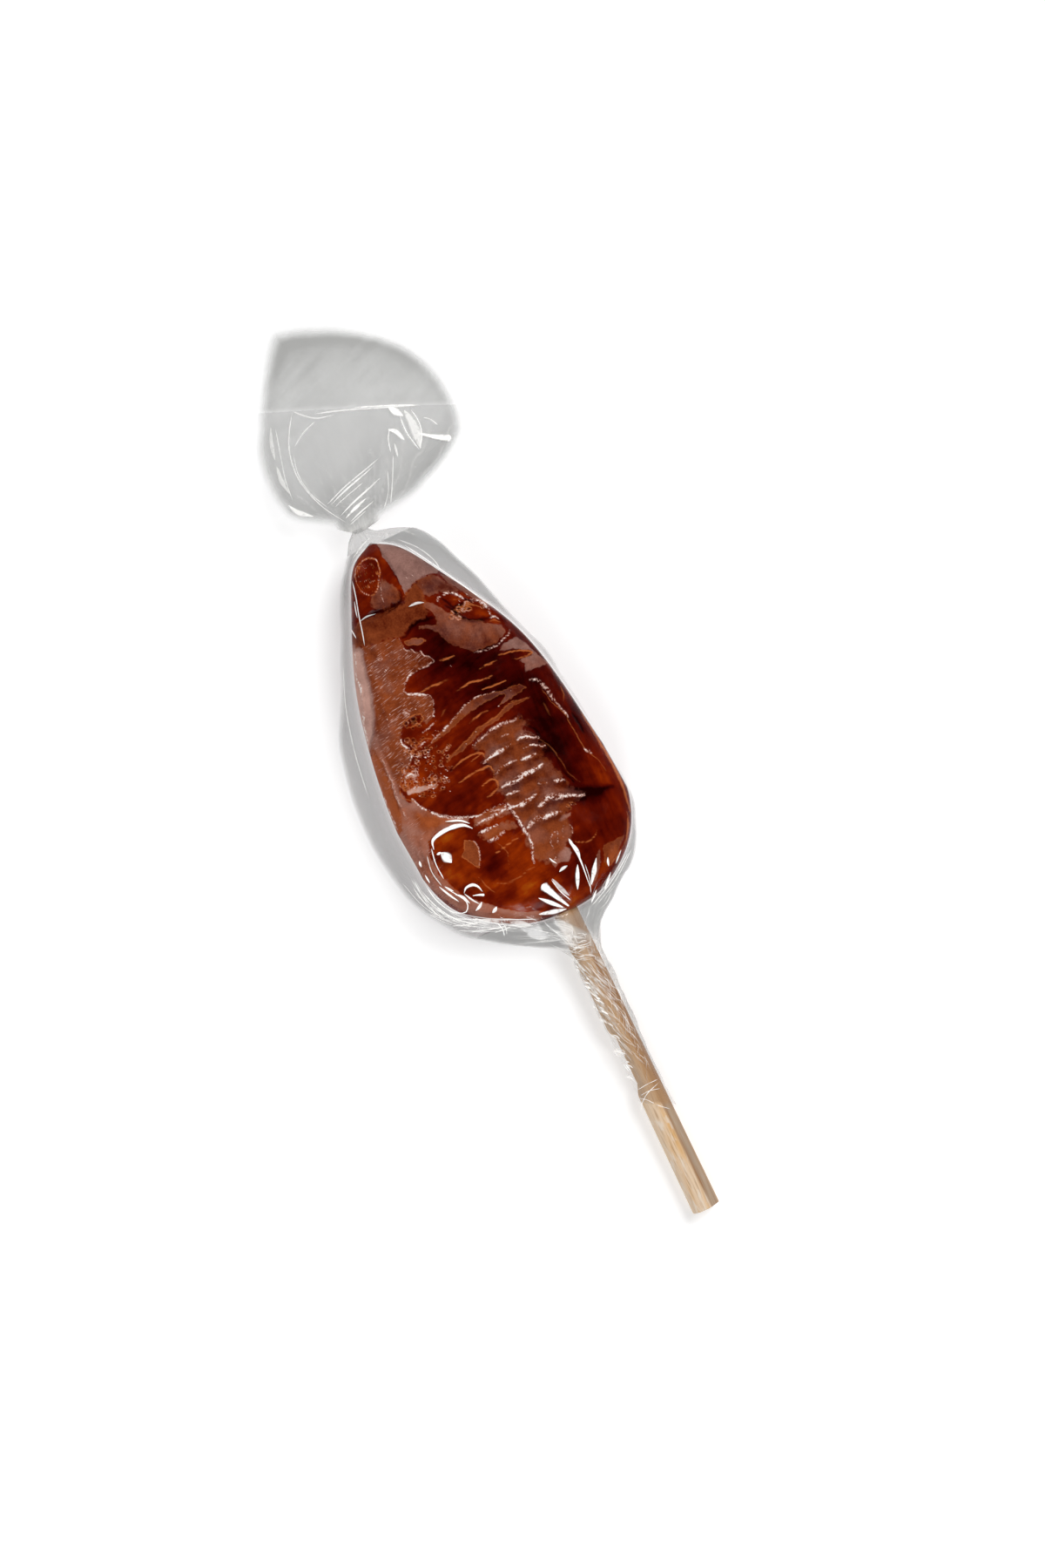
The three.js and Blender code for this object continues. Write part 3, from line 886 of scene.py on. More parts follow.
DRY_PATCHES = (
    LEFT_FIELD,
    # Painted light: the left wall, made pale and pinkish where it turns from the light.
    Patch(2.0, -0.9, 0.0, (
        (-11, 29.8), (-12.8, 29.2), (-15.6, 24), (-17.4, 19.6), (-18.8, 14), (-18.9, 11.5), (-17, 11.6),
        (-15.6, 13), (-14.2, 15.4), (-12.6, 20), (-12, 24), (-11.1, 27.5),
    ), 2.0),
    Patch(0.45, -0.24, 0.0, (
        (-16.2, 12.8), (-15.9, 8), (-16, 4), (-16.4, 0), (-17.2, -3.4), (-15.6, -2), (-14.4, 0.4),
        (-14.9, 3), (-14.9, 6), (-14.8, 10), (-14.6, 13.4), (-15.4, 13.6),
    ), 1.4),
    Patch(1.25, 0.04, 0.0, (
        (-1.2, 44.2), (0.7, 43.6), (2.9, 41.4), (4.8, 38.8), (6, 37), (7, 35.2), (6, 34.6), (5.4, 34.9),
        (3.5, 35.2), (1.6, 34.7), (0.4, 33.9), (-0.25, 33.6), (-0.25, 37.1), (-0.7, 38.9), (-1.1, 41.1),
    )),
    Patch(-0.3, 0.3, 0.0, (
        (-11.8, 31.2), (-9.6, 32.3), (-6, 32.3), (-3, 32.1), (-1, 32.4), (-0.2, 33.6), (0.6, 34),
        (1.8, 34.6), (2.6, 33), (2.6, 31.6), (1.9, 30.6), (2.2, 28.8), (1, 28.3), (-0.3, 28.8),
        (-1.5, 28.3), (-2.8, 27.7), (-4.3, 27.2), (-6, 27.6), (-9, 28), (-12.2, 28.5),
    ), 2.5),
    Patch(0.16, 0.26, 0.0, (
        (-5.9, 35.3), (-4.3, 36.1), (-3, 37.5), (-2.2, 36.8), (-1.4, 35.5), (-1.1, 33.8), (-1.7, 33.1),
        (-3, 33), (-5, 32.9), (-6.2, 33.6), (-6.4, 34.6),
    ), 1.6),
    Patch(0.2, 0.36, 0.0, (
        (1.9, 34.2), (2.4, 34.9), (4.6, 34.9), (5.8, 34.6), (7, 32.6), (8.6, 30.4), (7, 30.6),
        (5.6, 31.6), (3.4, 31.4), (2.6, 32.2), (2.3, 33.2),
    ), 1.8),
    Patch(0.5, 0.16, 0.0, (
        (6.6, 34.4), (7.4, 34), (9.6, 30.6), (12.4, 26.2), (11.8, 25.8), (9.6, 28.8), (7.4, 32),
    )),
    Patch(0.26, 0.02, 0.2, (
        (1.6, 30.5), (2.1, 31), (2.9, 30.5), (4.1, 29.3), (5.1, 27.7), (6, 26.8), (6.9, 25.5),
        (8.5, 24.7), (9.8, 23.9), (11, 23), (12.6, 22.1), (12.9, 20.8), (11.9, 20.2), (10.4, 19.7),
        (7.9, 19.7), (6.3, 20), (4.8, 21.1), (3.5, 22.4), (2.6, 23.9), (2.3, 25.3), (0.9, 26.4),
        (-0.6, 27.1), (-0.5, 27.5), (1.2, 26.9), (2.7, 26.2), (3, 28), (2.3, 29.3),
    )),
    Patch(0.1, -0.06, 0.4, (
        (-3.8, 26.2), (-2.4, 26.1), (-0.9, 25.5), (-0.4, 24.7), (-1.8, 24.7), (-3.4, 25.3),
    )),
    Patch(0.72, -0.12, 0.0, (
        (11, 18.7), (14.2, 19.1), (15.4, 17.4), (16.4, 15), (17.4, 12.7), (13.1, 13), (13.7, 14.3),
        (13.1, 15.2), (15.2, 15.2), (15.6, 16.2), (13, 17.4), (10.6, 17.9),
    )),
    Patch(0.16, 0.04, 0.3, (
        (-7.4, 8.2), (-5.3, 8.9), (-2.9, 9.8), (0, 11.2), (2.1, 12), (5, 12.2), (8.2, 11.6), (11.4, 11.5),
        (12.1, 10.6), (9.6, 9.9), (6.6, 9.6), (8.6, 10.6), (8.4, 11.2), (6, 11.2), (3.4, 11), (0.6, 10.3),
        (-2.4, 9.1), (-5.4, 8.4),
    )),
    Patch(-0.1, 0.08, 0.3, (
        (-5.5, 4.3), (-2.9, 5.6), (-0.5, 6.4), (1.8, 7.4), (5, 7.9), (8.2, 9.1), (12.1, 8.8), (8.4, 8.4),
        (5.6, 7.4), (2.9, 7), (0.4, 6.1), (-2.2, 4.9),
    )),
    Patch(-0.02, 0.1, 0.06, (
        (-0.2, 4.9), (1.4, 5.5), (4.3, 6.4), (7.1, 6.2), (9.5, 6.3), (8.6, 5.6), (10.8, 4.8), (8.6, 4.2),
        (9.2, 3.2), (10.6, 1.9), (10.2, 1), (11.4, -0.2), (10, -1.4), (11, -2.8), (10.8, -4.2),
        (11.8, -5.4), (11.4, -6.6), (12.6, -8.6), (14, -10.4), (11, -10.9), (9.9, -12), (9.6, -15),
        (8.6, -16.4), (7.1, -17.5), (5, -19.3), (3.2, -18.6), (1.8, -17.1), (1.4, -14.3), (2, -12),
        (1.4, -9), (1, -7), (1.2, -4.9), (0.4, -4.1), (1.2, -2.8), (0.8, -1.6), (1.2, -0.4), (0.8, 0.8),
        (0, 1.5), (1.2, 2.5), (0.9, 3.4), (0.1, 4),
    ), 3.2),
    Patch(0.1, -0.1, 0.2, (
        (-5.4, -6.6), (-2.5, -6.2), (0.8, -6.4), (1, -8.2), (-1.6, -7.9), (-3.6, -8.3), (-5.6, -7.9),
    ), 2.0),
    Patch(0.05, -0.1, 0.2, (
        (-5.6, -9.6), (-3, -9.2), (-0.4, -9.2), (0.9, -9.8), (1.2, -11), (-1.2, -10.6), (-4.4, -11.2),
    ), 2.0),
    Patch(-0.4, -0.04, 0.5, (
        (-8.2, -9.3), (-7, -10), (-6.5, -11.5), (-7.3, -13.5), (-7.8, -14.7), (-8.6, -13.4),
        (-9.7, -11.8),
    )),
    Patch(0.4, -0.38, 0.1, (
        (-18.6, 0.6), (-16, 0.2), (-13.6, 0.6), (-13, -0.6), (-11.5, -2.6), (-10, -4), (-8, -5.1),
        (-6, -6), (-6.5, -6.8), (-9, -6.2), (-12, -6.1), (-14, -7), (-14.8, -9.5), (-14.6, -13),
        (-12.6, -17.5), (-9.4, -20.8), (-5, -24.2), (-1, -26), (-2, -27.6), (-6, -27.4), (-9, -25.2),
        (-14, -20), (-17.4, -14), (-18.4, -8),
    )),
    # Painted light: a brighter strip low on the left flank.
    Patch(-0.6, -0.55, 0.0, (
        (-16.4, 11), (-18.2, 9.5), (-19.2, 5), (-19.4, 0), (-19.2, -4), (-17.4, -3.4), (-16.5, 0),
        (-16.1, 4), (-16, 8),
    ), 1.2),
    Patch(-0.1, -0.55, 0.1, (
        (-14, -1.6), (-12.2, -2.6), (-10.2, -4.4), (-11.4, -5.6), (-13.6, -5), (-14.4, -3.4),
    ), 4.5),
    Patch(1.9, -0.8, 0.2, (
        (-13.9, 2.3), (-13, 2.7), (-11.9, 2.5), (-10.6, 2), (-9.2, 1.7), (-9.4, 1.3), (-11.2, 1.4),
        (-12.8, 1.6), (-13.8, 1.7),
    )),
    Patch(1.4, -0.5, 0.4, (
        (-13.4, 4.4), (-12.8, 5.1), (-11.6, 5), (-10.8, 4.3), (-11.6, 4), (-12.4, 4.4),
    )),
    Patch(0.6, -0.18, 0.0, (
        (3.9, -18.4), (5, -18.8), (6, -17.8), (7.4, -17.2), (7.9, -18.6), (6.8, -20), (5.4, -19.4),
        (4.2, -19.9),
    )),
    Patch(0.8, -0.3, 0.0, ((7.9, -12.8), (9, -12.3), (10.7, -12.3), (9.8, -13), (8.4, -13.2))),
    Patch(-0.1, 0.14, 0.0, ((13.2, -19.8), (17.4, -19.6), (15.4, -21.8), (13.6, -23.2), (12.2, -22.6))),
    Patch(0.3, 0.2, 0.0, ((11.2, -21.4), (12.6, -20), (11.6, -22.4), (9.6, -25.2), (8.8, -25.4))),
)

TIP_RING = (
    (-7.25, 38.6), (-6.8, 40.4), (-5.75, 41.5), (-3.75, 41.8), (-2.5, 40.9), (-2.7, 39.2), (-3.1, 38.2),
    (-4.25, 36.5), (-5.5, 35.75), (-6.6, 36.4), (-7.25, 38.6),
)

RIBS = (
    Line(0.55, 0.6, ((0, 5), (2, 5.7), (4, 6.3), (5.7, 6.55), (7, 6.35), (8, 6.1), (9, 6.4))),
    Line(0.35, 0.5, ((4.4, 4.4), (5.3, 4.5), (6.2, 4.35))),
    Line(0.7, 1.0, ((0, 1.4), (1.2, 1.8), (2.4, 2), (3.7, 2.2), (5.9, 2.6))),
    Line(0.6, 0.95, ((7.1, 2.85), (8, 2.95), (9, 2.7), (10.7, 1.8))),
    Line(0.4, 0.7, ((7.6, 0.95), (9.1, 1.1), (10.7, 0.1), (11.8, -0.3))),
    Line(0.55, 0.75, ((1.1, -1), (2.9, -0.45), (3.9, -0.25), (5.5, -0.35))),
    Line(0.55, 0.9, ((6.4, -0.55), (7.6, -0.7), (9.1, -0.6))),
    Line(0.85, 1.05, ((1.6, -3.6), (3.4, -3.4), (5.1, -3.2), (7.2, -3), (9.3, -2.8))),
    Line(0.5, 0.9, ((1.5, -5.2), (2.6, -5.2), (3.8, -5.35))),
    Line(0.34, 0.65, ((7.2, -5.6), (8, -5.7), (8.9, -6))),
    Line(0.6, 0.9, ((10.1, -6.1), (11, -6.4), (11.6, -6.8))),
    Line(0.7, 0.85, ((0.9, -7.4), (2, -7.5), (3.2, -7.6), (4.8, -7.4), (6.2, -7))),
    Line(0.95, 1.05, ((5.9, -9.2), (7, -8.7), (7.9, -8.5), (9.6, -8.9), (11.8, -9.75))),
    Line(0.5, 0.8, ((11.4, -9.6), (12.6, -10), (13.9, -10.4))),
    Line(0.8, 1.0, ((2.5, -11.7), (4, -11.1), (5.9, -11.1), (7.4, -11.3), (8.9, -11.6))),
)

# Frosted lines, most of them painted highlights along crests, ridges, the left wall and the ear.
FROSTED_AND_GLINTS = (
    Line(0.5, 0.75, ((-16.6, 14), (-17.1, 12), (-17.6, 10), (-18, 6), (-18.2, 1), (-18.1, -3))),
    Line(0.55, 0.75, ((1.1, -6.4), (1.6, -9), (1.8, -11.6), (2.2, -13.8), (1.8, -15.6), (1.2, -17.8))),
    Line(0.5, 0.8, (
        (-13.6, 0.8), (-13, -0.6), (-11.5, -2.6), (-10, -4), (-8, -5), (-6, -6), (-4.3, -6.4), (-2.4, -6),
    )),
    Line(0.5, 0.9, ((-5.3, -7.7), (-3, -7.5), (-0.5, -7.4), (1.9, -7.3))),
    Line(0.5, 1.0, ((-5.3, -9.3), (-3.6, -9.2), (-2, -9.1))),
    Line(0.5, 0.9, ((-4.8, -11.2), (-3, -11), (-1.4, -10.8))),
    Line(0.25, 0.7, ((-2.3, -6.6), (-0.8, -6.1), (0.9, -6.3), (0.6, -6.8), (-1, -6.9), (-2.3, -6.6))),
    Line(0.4, 0.66, (
        (-7.4, 8.2), (-5.3, 8.9), (-2.9, 9.8), (0, 11.2), (2.1, 12), (3.6, 12.3), (5, 12.2), (7, 11.9),
    )),
    Line(0.28, 0.6, ((-8.2, 10.4), (-6.6, 10.8), (-5, 11.2), (-4.2, 11.6))),
    Line(0.34, 0.65, ((-10, 8.5), (-8.4, 8.8), (-6.8, 9))),
    Line(0.75, 0.62, ((13.2, 11.5), (14.2, 11.1), (14.8, 10.2), (15.4, 8.2), (15.9, 6.4))),
    Line(0.42, 0.5, ((15.9, 6.4), (16.3, 4.6), (16.9, 2.3))),
    Line(0.6, 0.65, ((17.2, -3.2), (17.5, -3.8), (17.8, -4.4))),
    Line(0.26, 0.62, (
        (-5.2, 27.4), (-4.4, 27), (-4.2, 25.5), (-4.1, 24.6), (-3, 24.3), (-2.8, 23.6), (-1.8, 23.4),
        (-1.6, 22.4), (-1, 22), (-0.5, 21),
    )),
    Line(0.34, 0.75, (
        (-0.6, 21), (-2, 20.7), (-3.6, 20.7), (-5, 20.7), (-6.2, 19.9), (-7, 18.9), (-7.4, 18.2),
    )),
    Line(0.44, 0.85, ((-7.4, 18.2), (-6.8, 17.5), (-5.8, 17.2), (-4.8, 16.6), (-3.6, 15.9))),
    Line(0.24, 0.42, ((-3.6, 15.9), (-3.5, 14.5), (-4.2, 13), (-5, 12))),
    Line(0.7, 0.8, (
        (-12.3, 28), (-13.7, 24), (-14.4, 20), (-15.6, 17), (-16.5, 14), (-17.4, 11), (-18.2, 7),
    )),
    Line(0.3, 0.7, ((-17.6, 8.4), (-18.3, 5), (-18.6, 2), (-18.7, -1), (-18.6, -4))),
    Line(0.4, 0.55, ((-15.5, 9), (-15.6, 5), (-15.9, 2), (-15.9, -1.6))),
    Line(0.4, 0.8, ((-10.4, 12.2), (-11.2, 11.3), (-11.3, 10.2), (-10.7, 9.2), (-10.6, 8), (-11.4, 6.8))),
    Line(0.3, 0.6, ((-11.4, 6.8), (-12.8, 5.8), (-14, 4.6), (-14.9, 3.2))),
    Line(0.5, 0.8, ((-13.7, 3.6), (-13.2, 4.6), (-12.2, 4.8), (-11.4, 4.4))),
    Line(0.4, 0.8, ((-13.2, 2.4), (-12, 2.6), (-11.2, 2))),
    Line(0.32, 0.6, ((6.3, 19.7), (8, 19.3), (10.4, 19.2), (12.9, 19.9), (13.7, 20.8))),
    Line(0.26, 0.5, TIP_RING),
    Line(0.24, 0.5, ((-8.2, -9.3), (-7, -10), (-6.5, -11.5), (-7.3, -13.5), (-7.8, -14.7))),
    Line(0.22, 0.55, ((5.3, -16.8), (5.2, -15.6), (6.2, -14.4), (7, -14.5), (6.6, -15.8), (5.3, -16.8))),
    Line(0.2, 0.5, ((7.6, -15.8), (8, -14.4), (9.2, -13.9), (9.6, -14.9), (8.8, -16.2))),
    Line(0.4, 0.95, ((6.7, 31), (7.8, 29.9), (8.6, 28.8))),
    Line(0.48, 1.0, ((9.6, 28.2), (10.7, 27.4), (11.5, 26.4), (11.8, 25.2), (11.7, 24.6))),
    Line(0.36, 0.85, ((11.2, 23.8), (12, 24), (12.7, 23.3))),
    Line(0.34, 0.75, ((4.2, 30.3), (4.6, 30.6), (5, 30.8))),
    Line(0.36, 0.85, ((5.6, 30.8), (6.1, 31.1), (6.5, 30.9))),
    Line(0.24, 0.55, ((-3.3, 37.6), (-3.7, 36), (-4.2, 34.6), (-4.2, 33.6))),
    Line(0.36, 0.5, ((-13.4, 4.4), (-12.6, 4.6), (-11.8, 3.4), (-11.4, 2.4))),
    Line(0.3, 0.75, ((-11.3, 1.6), (-10, 1.9), (-8.7, 1.5))),
    Line(0.28, 0.6, ((-9.5, 3), (-8.9, 3.4), (-8.3, 3.3))),
    Line(0.34, 0.8, ((4.8, -20.5), (5.4, -20.7), (6.2, -20.8))),
    Line(0.6, 0.62, ((4, -18.4), (4.6, -18.8), (5, -18.4))),
    Line(0.3, 0.8, ((-3.2, -24.2), (-2.8, -24.3), (-2.3, -24.4))),
    Line(1.3, 0.5, ((-9, 15.2), (-8.4, 14.9), (-7.8, 14.6))),
    Line(0.5, 0.4, ((-9.6, 25.2), (-8.6, 25), (-7.8, 25.2))),
)

GLOWING = (
    Line(0.28, 0.8, TIP_RING),
    Line(0.6, 0.6, ((19.2, 3), (19.9, -2), (20.5, -7), (20.6, -12), (20, -16.4))),
    Line(0.3, 0.9, ((0.5, 20.7), (1.8, 20.4), (3.2, 20.6))),
    Line(0.3, 1.0, ((0.8, 14.8), (2.4, 15.1), (3.6, 15.2), (5, 14.9), (7.8, 14.5))),
    Line(0.26, 0.9, ((6, 16.7), (8, 16.75), (9.7, 16.6))),
    Line(0.26, 0.9, ((5, 13.1), (7.4, 13), (9.5, 12.9))),
    Line(0.28, 0.9, ((-4.9, 17), (-2, 17.2), (0.8, 17.1))),
    Line(0.4, 0.35, ((-3.4, 11.9), (-2.6, 12.4), (-1.8, 12.7))),
    Line(0.34, 0.95, ((0.8, 8.7), (2, 9.1), (3.4, 9.5), (4.6, 9.5))),
    Line(0.24, 0.6, ((-5.5, 4.3), (-4.2, 5), (-0.5, 6.4), (1.8, 7.4), (5, 7.8), (8.2, 9.1), (12, 8.8))),
    Line(0.32, 0.9, ((-5, 2.75), (-2.7, 3.45), (0, 3.6), (0.9, 2.9), (0.6, 2))),
    Line(0.2, 0.7, ((-1.6, 2.6), (-0.4, 3), (0.7, 3.3))),
    Line(0.32, 0.9, ((-5.2, 0), (-2.9, 0.5), (-1, 0.65), (0.7, 0.7), (1.2, -0.2), (0.8, -1.3))),
    Line(0.32, 0.9, ((-1.6, -2), (0.5, -1.6), (1.1, -2.4), (0.7, -3.5))),
    Line(0.32, 0.9, ((-1.8, -4.3), (-0.4, -3.9), (0.7, -3.5))),
    Line(0.24, 0.8, ((-4.6, -13.5), (-1.5, -12.9), (1.8, -12.4))),
    Line(0.22, 0.6, ((-8.6, -16), (-8, -18), (-7.2, -19.8))),
    Line(0.3, 0.5, ((-7.6, -17.6), (-5.6, -18.6), (-3, -19), (-0.6, -18.6), (1, -18.4))),
    Line(0.2, 0.5, ((-3.6, -11.4), (-2.4, -14), (-3, -16.6))),
    Line(0.26, 0.6, ((9, -17.2), (10.8, -18.2), (12.6, -17.8), (13.4, -16.8))),
    Line(0.22, 0.6, ((-10.8, 10.2), (-9.4, 9.2), (-7.4, 9.4), (-5.4, 8.4))),
    Line(0.3, 0.8, ((9.3, 17.4), (12, 17.2), (14, 16.7), (15.6, 15.8), (13.6, 15.4), (12, 16))),
    Line(0.24, 0.5, (
        (14.4, 9.3), (15.5, 5.9), (16.4, 3.4), (16.8, 0.1), (17.3, -3.5), (18.4, -6), (19, -8.2),
    )),
    Line(0.3, 0.35, ((10.4, 2.1), (11.8, -0.4), (12.6, -3.8), (12.9, -6), (14, -8.2))),
    Line(0.24, 0.5, ((17.75, 8.3), (17.6, 7), (17.2, 5.9))),
    Line(0.5, 0.3, ((13.9, 6.9), (13.9, 5.6), (14, 4.4))),
    Line(0.5, 0.55, ((12.7, -23.6), (15, -22.4), (17, -21), (18.6, -18.6), (19.4, -16))),
    Line(0.22, 0.6, ((-10.8, 7.2), (-13.2, 5), (-14.7, 3.5), (-15, 1.6), (-14, 0.8), (-12.4, -1.5))),
    Line(0.22, 0.7, (
        (-9.6, 13.2), (-8.2, 14), (-6.6, 13.8), (-6.2, 12.8), (-7.6, 12.3), (-9.4, 12.5), (-9.6, 13.2),
    )),
    Line(0.26, 0.6, ((7, 27.4), (8.4, 27.6), (9.6, 27), (10.8, 26))),
    Line(0.24, 0.6, ((6.4, 29.6), (7.4, 29.2), (8.2, 28.8))),
    Line(0.24, 0.6, ((10.8, 23.5), (11.8, 23.4), (12.8, 22.6))),
)

# Creases, each darkened with painted shade; they also sink the face a little.
CREASES_AND_SHADE = (
    Line(0.8, 0.6, ((-15.6, -6.4), (-16, -9), (-15.9, -12), (-15, -15))),
    Line(0.6, 0.5, ((-16.9, -8), (-17, -11), (-16.4, -14.4))),
    Line(0.9, 0.7, ((-9, 32.6), (-7, 33), (-5, 32.6), (-3, 32.5), (-1.5, 33), (-0.9, 34.4))),
    Line(0.7, 0.8, ((-4, 26.8), (-2.8, 27.3), (-1.5, 28), (-0.3, 28.3), (1, 28), (2.2, 28))),
    Line(0.55, 0.8, ((5.2, 30.4), (5.8, 29.4), (6.3, 28.3), (7.2, 28), (8.6, 28.2))),
    Line(0.75, 0.9, ((5.4, 29), (6.3, 27.4), (7, 25.5), (8.6, 24.6), (10, 24.1), (11.6, 24.1))),
    Line(0.4, 0.8, ((8.6, 28.9), (9.2, 28.3), (9.8, 27.9))),
    Line(0.5, 0.5, ((-1.3, 43), (-0.7, 40), (-0.4, 38), (-0.4, 35.6))),
    Line(1.1, 0.8, ((11.5, -8), (13.5, -9.6), (16, -10.6), (19, -11.2))),
    Line(0.5, 0.6, ((17.6, 3.2), (18, 1.4), (18.2, -0.7))),
    Line(0.5, 0.55, ((9.6, 4.6), (10.6, 3.4), (11.2, 1.2), (12.2, -1.6), (12.2, -5.4), (13, -7.6))),
    Line(0.4, 0.5, ((-9.6, 12.6), (-8, 13.2), (-6.6, 13))),
    Line(0.3, 0.5, ((-11, 10.4), (-10.2, 9.6), (-10.6, 8.2))),
)

FACE_LINES = {
    MarkKind.RIB: RIBS,
    MarkKind.FROST: FROSTED_AND_GLINTS,
    MarkKind.GLOW: GLOWING,
    MarkKind.CREASE: CREASES_AND_SHADE,
}

# Stains, painted shade in hollows and on the right rim, and painted light on the left flank and low amber
# spots.
STAINS_AND_SHADES = (
    StainAndShade(0.44, (6, 16), (8, 6.5), -8),
    StainAndShade(0.38, (0.8, 24.6), (3.4, 4)),
    StainAndShade(0.5, (12.8, 2.6), (3, 10), 4),
    StainAndShade(0.3, (15.3, -10.8), (4.6, 1.1), -14),
    StainAndShade(0.2, (9, -20.6), (3.2, 2.4), 30),
    StainAndShade(0.2, (16.2, -17.4), (2.6, 3.2), -25),
    StainAndShade(0.16, (5.4, -22.6), (1.4, 2.2)),
    StainAndShade(0.06, (-3, -3), (5, 3), 15),
    StainAndShade(-0.05, (-1.4, 39), (0.9, 5), 4),
    StainAndShade(-0.28, (-11.6, -13.6), (2.6, 3.4)),
    StainAndShade(-0.14, (-8.2, -16.8), (1.4, 2.4)),
    StainAndShade(0.24, (-5.3, -15.7), (1.9, 1.9)),
    StainAndShade(-0.08, (-3, -20.5), (6.5, 4), -12),
    StainAndShade(-0.2, (0.2, -15.5), (2.4, 4)),
    StainAndShade(-0.2, (-6.6, -18.4), (1.6, 1.1), -20),
    StainAndShade(-0.2, (-1.2, -21.6), (2.2, 1), 10),
    StainAndShade(-0.2, (3.4, -22.4), (1.2, 1.6)),
    StainAndShade(-0.16, (-5, -23), (2.4, 0.9), -30),
    StainAndShade(-0.3, (-10.5, -7.8), (3.2, 1.2), -4),
    StainAndShade(-0.22, (4.6, -25.8), (4, 1.8)),
    StainAndShade(-0.3, (12.4, -23), (4, 0.8), 30),
    StainAndShade(-0.26, (-12.6, 2.8), (1.8, 2.2)),
    StainAndShade(-0.08, (-8, 6.5), (4.4, 4)),
    StainAndShade(-0.12, (0.7, 33), (1.3, 1.1)),
    StainAndShade(-0.18, (4, -13.6), (2.8, 3)),
    StainAndShade(-0.2, (10.3, 25.1), (1.8, 0.6), -42),
    StainAndShade(0.22, (8.8, 27.2), (1.2, 0.9), -30),
    StainAndShade(-0.2, (-5.6, 41.2), (1.6, 1.4)),
    StainAndShade(-0.2, (-9.2, 30), (1.5, 1.6)),
    StainAndShade(-0.14, (-2, -8.5), (2.4, 1.2)),
    StainAndShade(-0.18, (7.2, 29.6), (1.2, 0.7), -40),
    StainAndShade(-0.2, (11.9, 23), (1, 0.5), -40),
    StainAndShade(-0.25, (-17, 4), (1.6, 10), -5),
    StainAndShade(-0.2, (-11.2, 15), (0.6, 7), -4),
    StainAndShade(-0.18, (-10.6, 26), (0.5, 2.4), -6),
    StainAndShade(0.2, (17.8, 5), (1.6, 10), 6),
    StainAndShade(-0.1, (18.4, -12), (1.2, 5), 6),
    StainAndShade(0.14, (13.6, -5), (2, 3)),
    StainAndShade(-0.08, (-6.6, 37.5), (1, 4), 8),
    StainAndShade(0.1, (-4.8, 39.2), (1.6, 2.2)),
)

FROTHS = (
    Froth(110, (-9.6, 4.2), (4.8, 4.6), 0.12, 0.34, 3),
    Froth(40, (-6.6, 7.6), (3.6, 3), 0.12, 0.3, 4),
    Froth(22, (-12.5, 3.9), (1.7, 1.5), 0.2, 0.55, 10),
    Froth(16, (-9.6, 2), (2, 0.9), 0.18, 0.45, 11),
    Froth(9, (-7.8, 12.9), (1.5, 1), 0.22, 0.5, 5),
    Froth(14, (-10.4, 9.4), (1.4, 1.6), 0.2, 0.42, 6),
    Froth(26, (8.8, 26.8), (3.6, 1.2), 0.2, 0.5, 7),
    Froth(10, (11.2, -11.4), (1, 0.7), 0.15, 0.3, 8),
    Froth(44, (-5, 38.9), (1.9, 2.6), 0.1, 0.2, 9),
)

SUGAR = (
    Froth(26, (0, 8), (15, 28), 0.05, 0.14, 21),
    Froth(26, (-9, 14), (5, 14), 0.05, 0.16, 22),
    Froth(12, (8.6, 27.6), (3.4, 2), 0.08, 0.2, 24),
    Froth(40, (-10, 3.4), (4.2, 4), 0.08, 0.24, 25),
    Froth(16, (3.2, 36), (2.4, 5), 0.05, 0.1, 26),
)


# Sweet and stick

